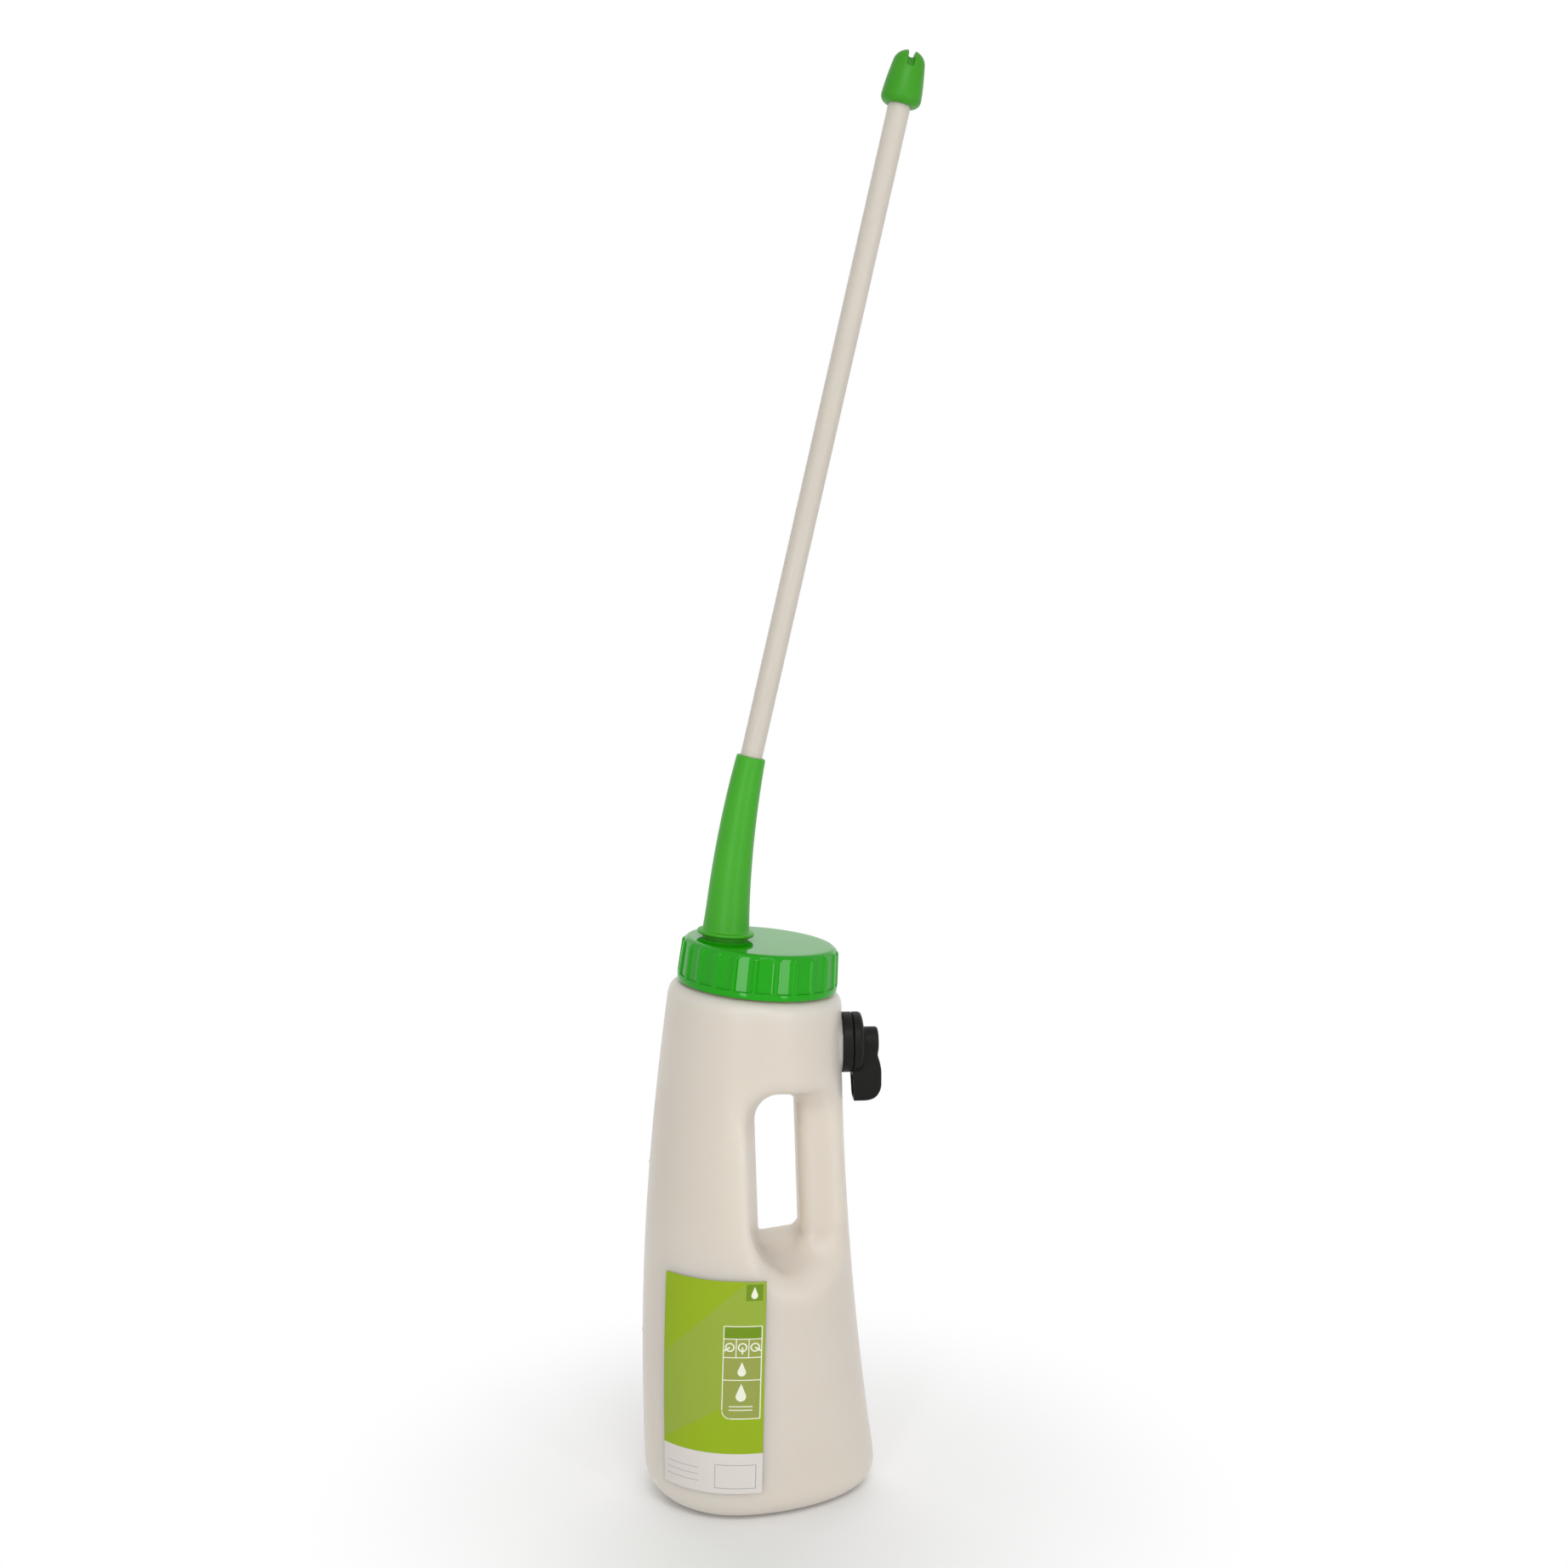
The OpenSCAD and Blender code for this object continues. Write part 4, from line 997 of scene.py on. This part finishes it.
class DRENCHER_OT_air_valve(bpy.types.Operator):
    """Collar with its spindle, and the turning knob"""
    bl_idname = "drencher.air_valve"
    bl_label = "Air valve"

    def execute(self, context):
        look = context.scene.drencher_valve
        black = plastic("Black valve plastic", look.colour, toned(look.colour, 1.6), 0.42,
                        grain=1400.0, bump=0.06, cloud=(60.0, 0.5), scratch=0.5, spread=0.1,
                        Specular_IOR_Level=0.14)
        points, faces = lathe(self.collar(), 96)
        add_mesh("collar_body", to_valve(points), faces, black, "bottle", "valve_collar",
                 "valve_plastic", sharp=SHARP_EDGE)
        reach = VALVE_RADIUS + 2
        points, faces = surface_net(knob_field, (-reach, -reach, 3), (LEVER_LENGTH + 2, reach, 25),
                                    look.cell / MM)
        add_mesh("knob_body", to_valve(points), faces, black, "valve_knob", "valve_knob",
                 "valve_plastic", sharp=60)
        return {"FINISHED"}

    def collar(self):
        """Cup over the side neck, with the spindle and its grooves on the cup's face."""
        cup, under = SIDE_NECK + KNOB_GAP, COLLAR_LENGTH - COLLAR_FLOOR
        port = COLLAR_LENGTH + SPINDLE_LENGTH / 2
        end = COLLAR_LENGTH + SPINDLE_LENGTH
        groove = RING_THICK + 2 * FIT_GAP
        profile = [(0, port), (AIR_BORE, port), (AIR_BORE, under), (cup, under), (cup, PAD_GAP)]
        profile += arc(VALVE_RADIUS - 0.5, PAD_GAP + 0.5, 0.5, -90, 90, 4)
        profile += arc(VALVE_RADIUS - 0.6, COLLAR_LENGTH - 0.6, 0.6, 0, 90, 4)
        profile += [(SPINDLE_RADIUS, COLLAR_LENGTH)]
        for middle in (COLLAR_LENGTH + RING_EDGE, end - RING_EDGE):
            low, high = middle - groove / 2, middle + groove / 2
            profile += [(SPINDLE_RADIUS, low), (SPINDLE_RADIUS - groove, low),
                        (SPINDLE_RADIUS - groove, high), (SPINDLE_RADIUS, high)]
        return profile + [(SPINDLE_RADIUS, end), (0, end)]


class DRENCHER_OT_seals(bpy.types.Operator):
    """Rubber of the seals, whose solids stay as they are"""
    bl_idname = "drencher.seals"
    bl_label = "Seals"

    def execute(self, context):
        colour = context.scene.drencher_valve.seal
        rubber = plastic("Seal rubber", colour, toned(colour, 0.7), 0.62,
                         grain=1500.0, bump=0.12, cloud=(80.0, 0.5), scratch=0.1, spread=0.12)
        for name in ("cap_gasket", "valve_gasket", "spindle_rings"):
            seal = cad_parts[name]
            if not seal.material_slots:
                seal.data.materials.append(rubber)
            for place in seal.material_slots:
                place.material = rubber
        return {"FINISHED"}


class DRENCHER_OT_stage(bpy.types.Operator):
    """Floor, soft light and the camera"""
    bl_idname = "drencher.stage"
    bl_label = "Stage"

    def execute(self, context):
        look = context.scene.drencher_stage
        scene = context.scene
        self.floor(look)
        self.room(scene, look.light)
        self.lamps(scene)
        camera = bpy.data.objects.new("camera", bpy.data.cameras.new("camera"))
        camera.data.lens = look.lens
        camera.data.sensor_width = 36
        camera.data.clip_start = 0.05
        c, s = math.cos(look.yaw), math.sin(look.yaw)
        camera.location = (look.side * c - look.away * s, -look.away * c - look.side * s, look.height)
        camera.rotation_euler = (math.pi / 2 - look.dip, 0, -look.yaw)
        scene.collection.objects.link(camera)
        scene.camera = camera
        scene.view_settings.view_transform = "Standard"
        return {"FINISHED"}

    def seen_directly(self, tree):
        """1 for rays that show the background itself, plainly or in gloss or glass."""
        path = tree.nodes.new("ShaderNodeLightPath").outputs
        seen = math_node(tree, "MAXIMUM", path["Is Camera Ray"], path["Is Glossy Ray"])
        return math_node(tree, "MAXIMUM", seen, path["Is Transmission Ray"])

    def floor(self, look):
        """Pale floor that keeps the shadow near the object and fades to white further out."""
        mesh = bpy.data.meshes.new("floor")
        mesh.from_pydata([(-6, -6, 0), (6, -6, 0), (6, 6, 0), (-6, 6, 0)], [], [(0, 1, 2, 3)])
        floor = bpy.data.objects.new("floor", mesh)
        bpy.context.scene.collection.objects.link(floor)
        material, tree, shader = new_material("Pale floor")
        shader.inputs["Base Color"].default_value = look.floor
        shader.inputs["Roughness"].default_value = 0.8
        shader.inputs["Specular IOR Level"].default_value = 0.0
        place = tree.nodes.new("ShaderNodeTexCoord").outputs["Object"]
        away = tree.nodes.new("ShaderNodeVectorMath")
        away.operation = "LENGTH"
        tree.links.new(place, away.inputs[0])
        fade = node(tree, "ShaderNodeMapRange", interpolation_type="SMOOTHSTEP",
                    Value=away.outputs["Value"], From_Min=0.08, From_Max=0.3).outputs[0]
        white = node(tree, "ShaderNodeEmission", Color=(1, 1, 1, 1), Strength=1.0)
        both = tree.nodes.new("ShaderNodeMixShader")
        tree.links.new(math_node(tree, "MULTIPLY", fade, self.seen_directly(tree)), both.inputs[0])
        tree.links.new(shader.outputs[0], both.inputs[1])
        tree.links.new(white.outputs[0], both.inputs[2])
        tree.links.new(both.outputs[0], tree.nodes["Material Output"].inputs["Surface"])
        mesh.materials.append(material)

    def room(self, scene, light):
        """White all round: plain white where it is seen, and softer as light."""
        world = scene.world or bpy.data.worlds.new("studio")
        scene.world = world
        world.use_nodes = True
        tree = world.node_tree
        back = tree.nodes["Background"]
        back.inputs["Color"].default_value = (1, 1, 1, 1)
        level = node(tree, "ShaderNodeMapRange", Value=self.seen_directly(tree), To_Min=light)
        tree.links.new(level.outputs[0], back.inputs["Strength"])

    def lamps(self, scene):
        """Two tall and narrow soft boxes in front, one above them, and the lit wall behind."""
        self.lamp(scene, "left_box", -22, 1.35, 0.5, (0.21, 1.0), 3.8)
        self.lamp(scene, "right_box", 35, 1.35, 0.5, (0.21, 1.0), 3.1)
        self.lamp(scene, "upper_box", 5, 1.6, 1.9, (1.0, 0.6), 13.0, aim=0.25)
        self.lamp(scene, "back_wall", 180, 1.1, 0.75, (2.2, 1.4), 14.0, mirrored=False)

    def lamp(self, scene, name, turn, away, height, size, power, aim=None, mirrored=True):
        """A soft box round the object, level or aimed at a height on the object's axis."""
        light = bpy.data.lights.new(name, "AREA")
        light.shape = "RECTANGLE"
        light.size, light.size_y = size
        light.energy = power
        lamp = bpy.data.objects.new(name, light)
        turn = math.radians(turn)
        lamp.location = (away * math.sin(turn), -away * math.cos(turn), height)
        down = 0 if aim is None else math.atan2(height - aim, away)
        lamp.rotation_euler = (math.pi / 2 - down, 0, turn)
        lamp.visible_camera = False
        lamp.visible_glossy = mirrored
        scene.collection.objects.link(lamp)


class DRENCHER_PT_pieces(bpy.types.Panel):
    """Lists the pieces"""
    bl_idname = "DRENCHER_PT_pieces"
    bl_label = "Drencher"
    bl_space_type = "VIEW_3D"
    bl_region_type = "UI"
    bl_category = "Drencher"

    def draw(self, context):
        for operator in OPERATORS:
            self.layout.operator(operator.bl_idname)


SETTINGS = {"drencher_bottle": DrencherBottle, "drencher_label": DrencherLabel,
            "drencher_cap": DrencherCap, "drencher_tube": DrencherTube,
            "drencher_valve": DrencherValve, "drencher_stage": DrencherStage}
OPERATORS = [DRENCHER_OT_bottle, DRENCHER_OT_label, DRENCHER_OT_screw_cap, DRENCHER_OT_spout,
             DRENCHER_OT_feeding_tube, DRENCHER_OT_probe_tip, DRENCHER_OT_air_valve,
             DRENCHER_OT_seals, DRENCHER_OT_stage]


def register():
    for made in [*SETTINGS.values(), *OPERATORS, DRENCHER_PT_pieces]:
        bpy.utils.register_class(made)
    for name, made in SETTINGS.items():
        setattr(bpy.types.Scene, name, bpy.props.PointerProperty(type=made))


def unregister():
    for name in SETTINGS:
        delattr(bpy.types.Scene, name)
    for made in reversed([*SETTINGS.values(), *OPERATORS, DRENCHER_PT_pieces]):
        bpy.utils.unregister_class(made)


def main():
    register()
    bpy.ops.drencher.bottle()
    bpy.ops.drencher.label()
    bpy.ops.drencher.screw_cap()
    bpy.ops.drencher.spout()
    bpy.ops.drencher.feeding_tube()
    bpy.ops.drencher.probe_tip()
    bpy.ops.drencher.air_valve()
    bpy.ops.drencher.seals()
    bpy.ops.drencher.stage()


if __name__ == "__main__":
    main()
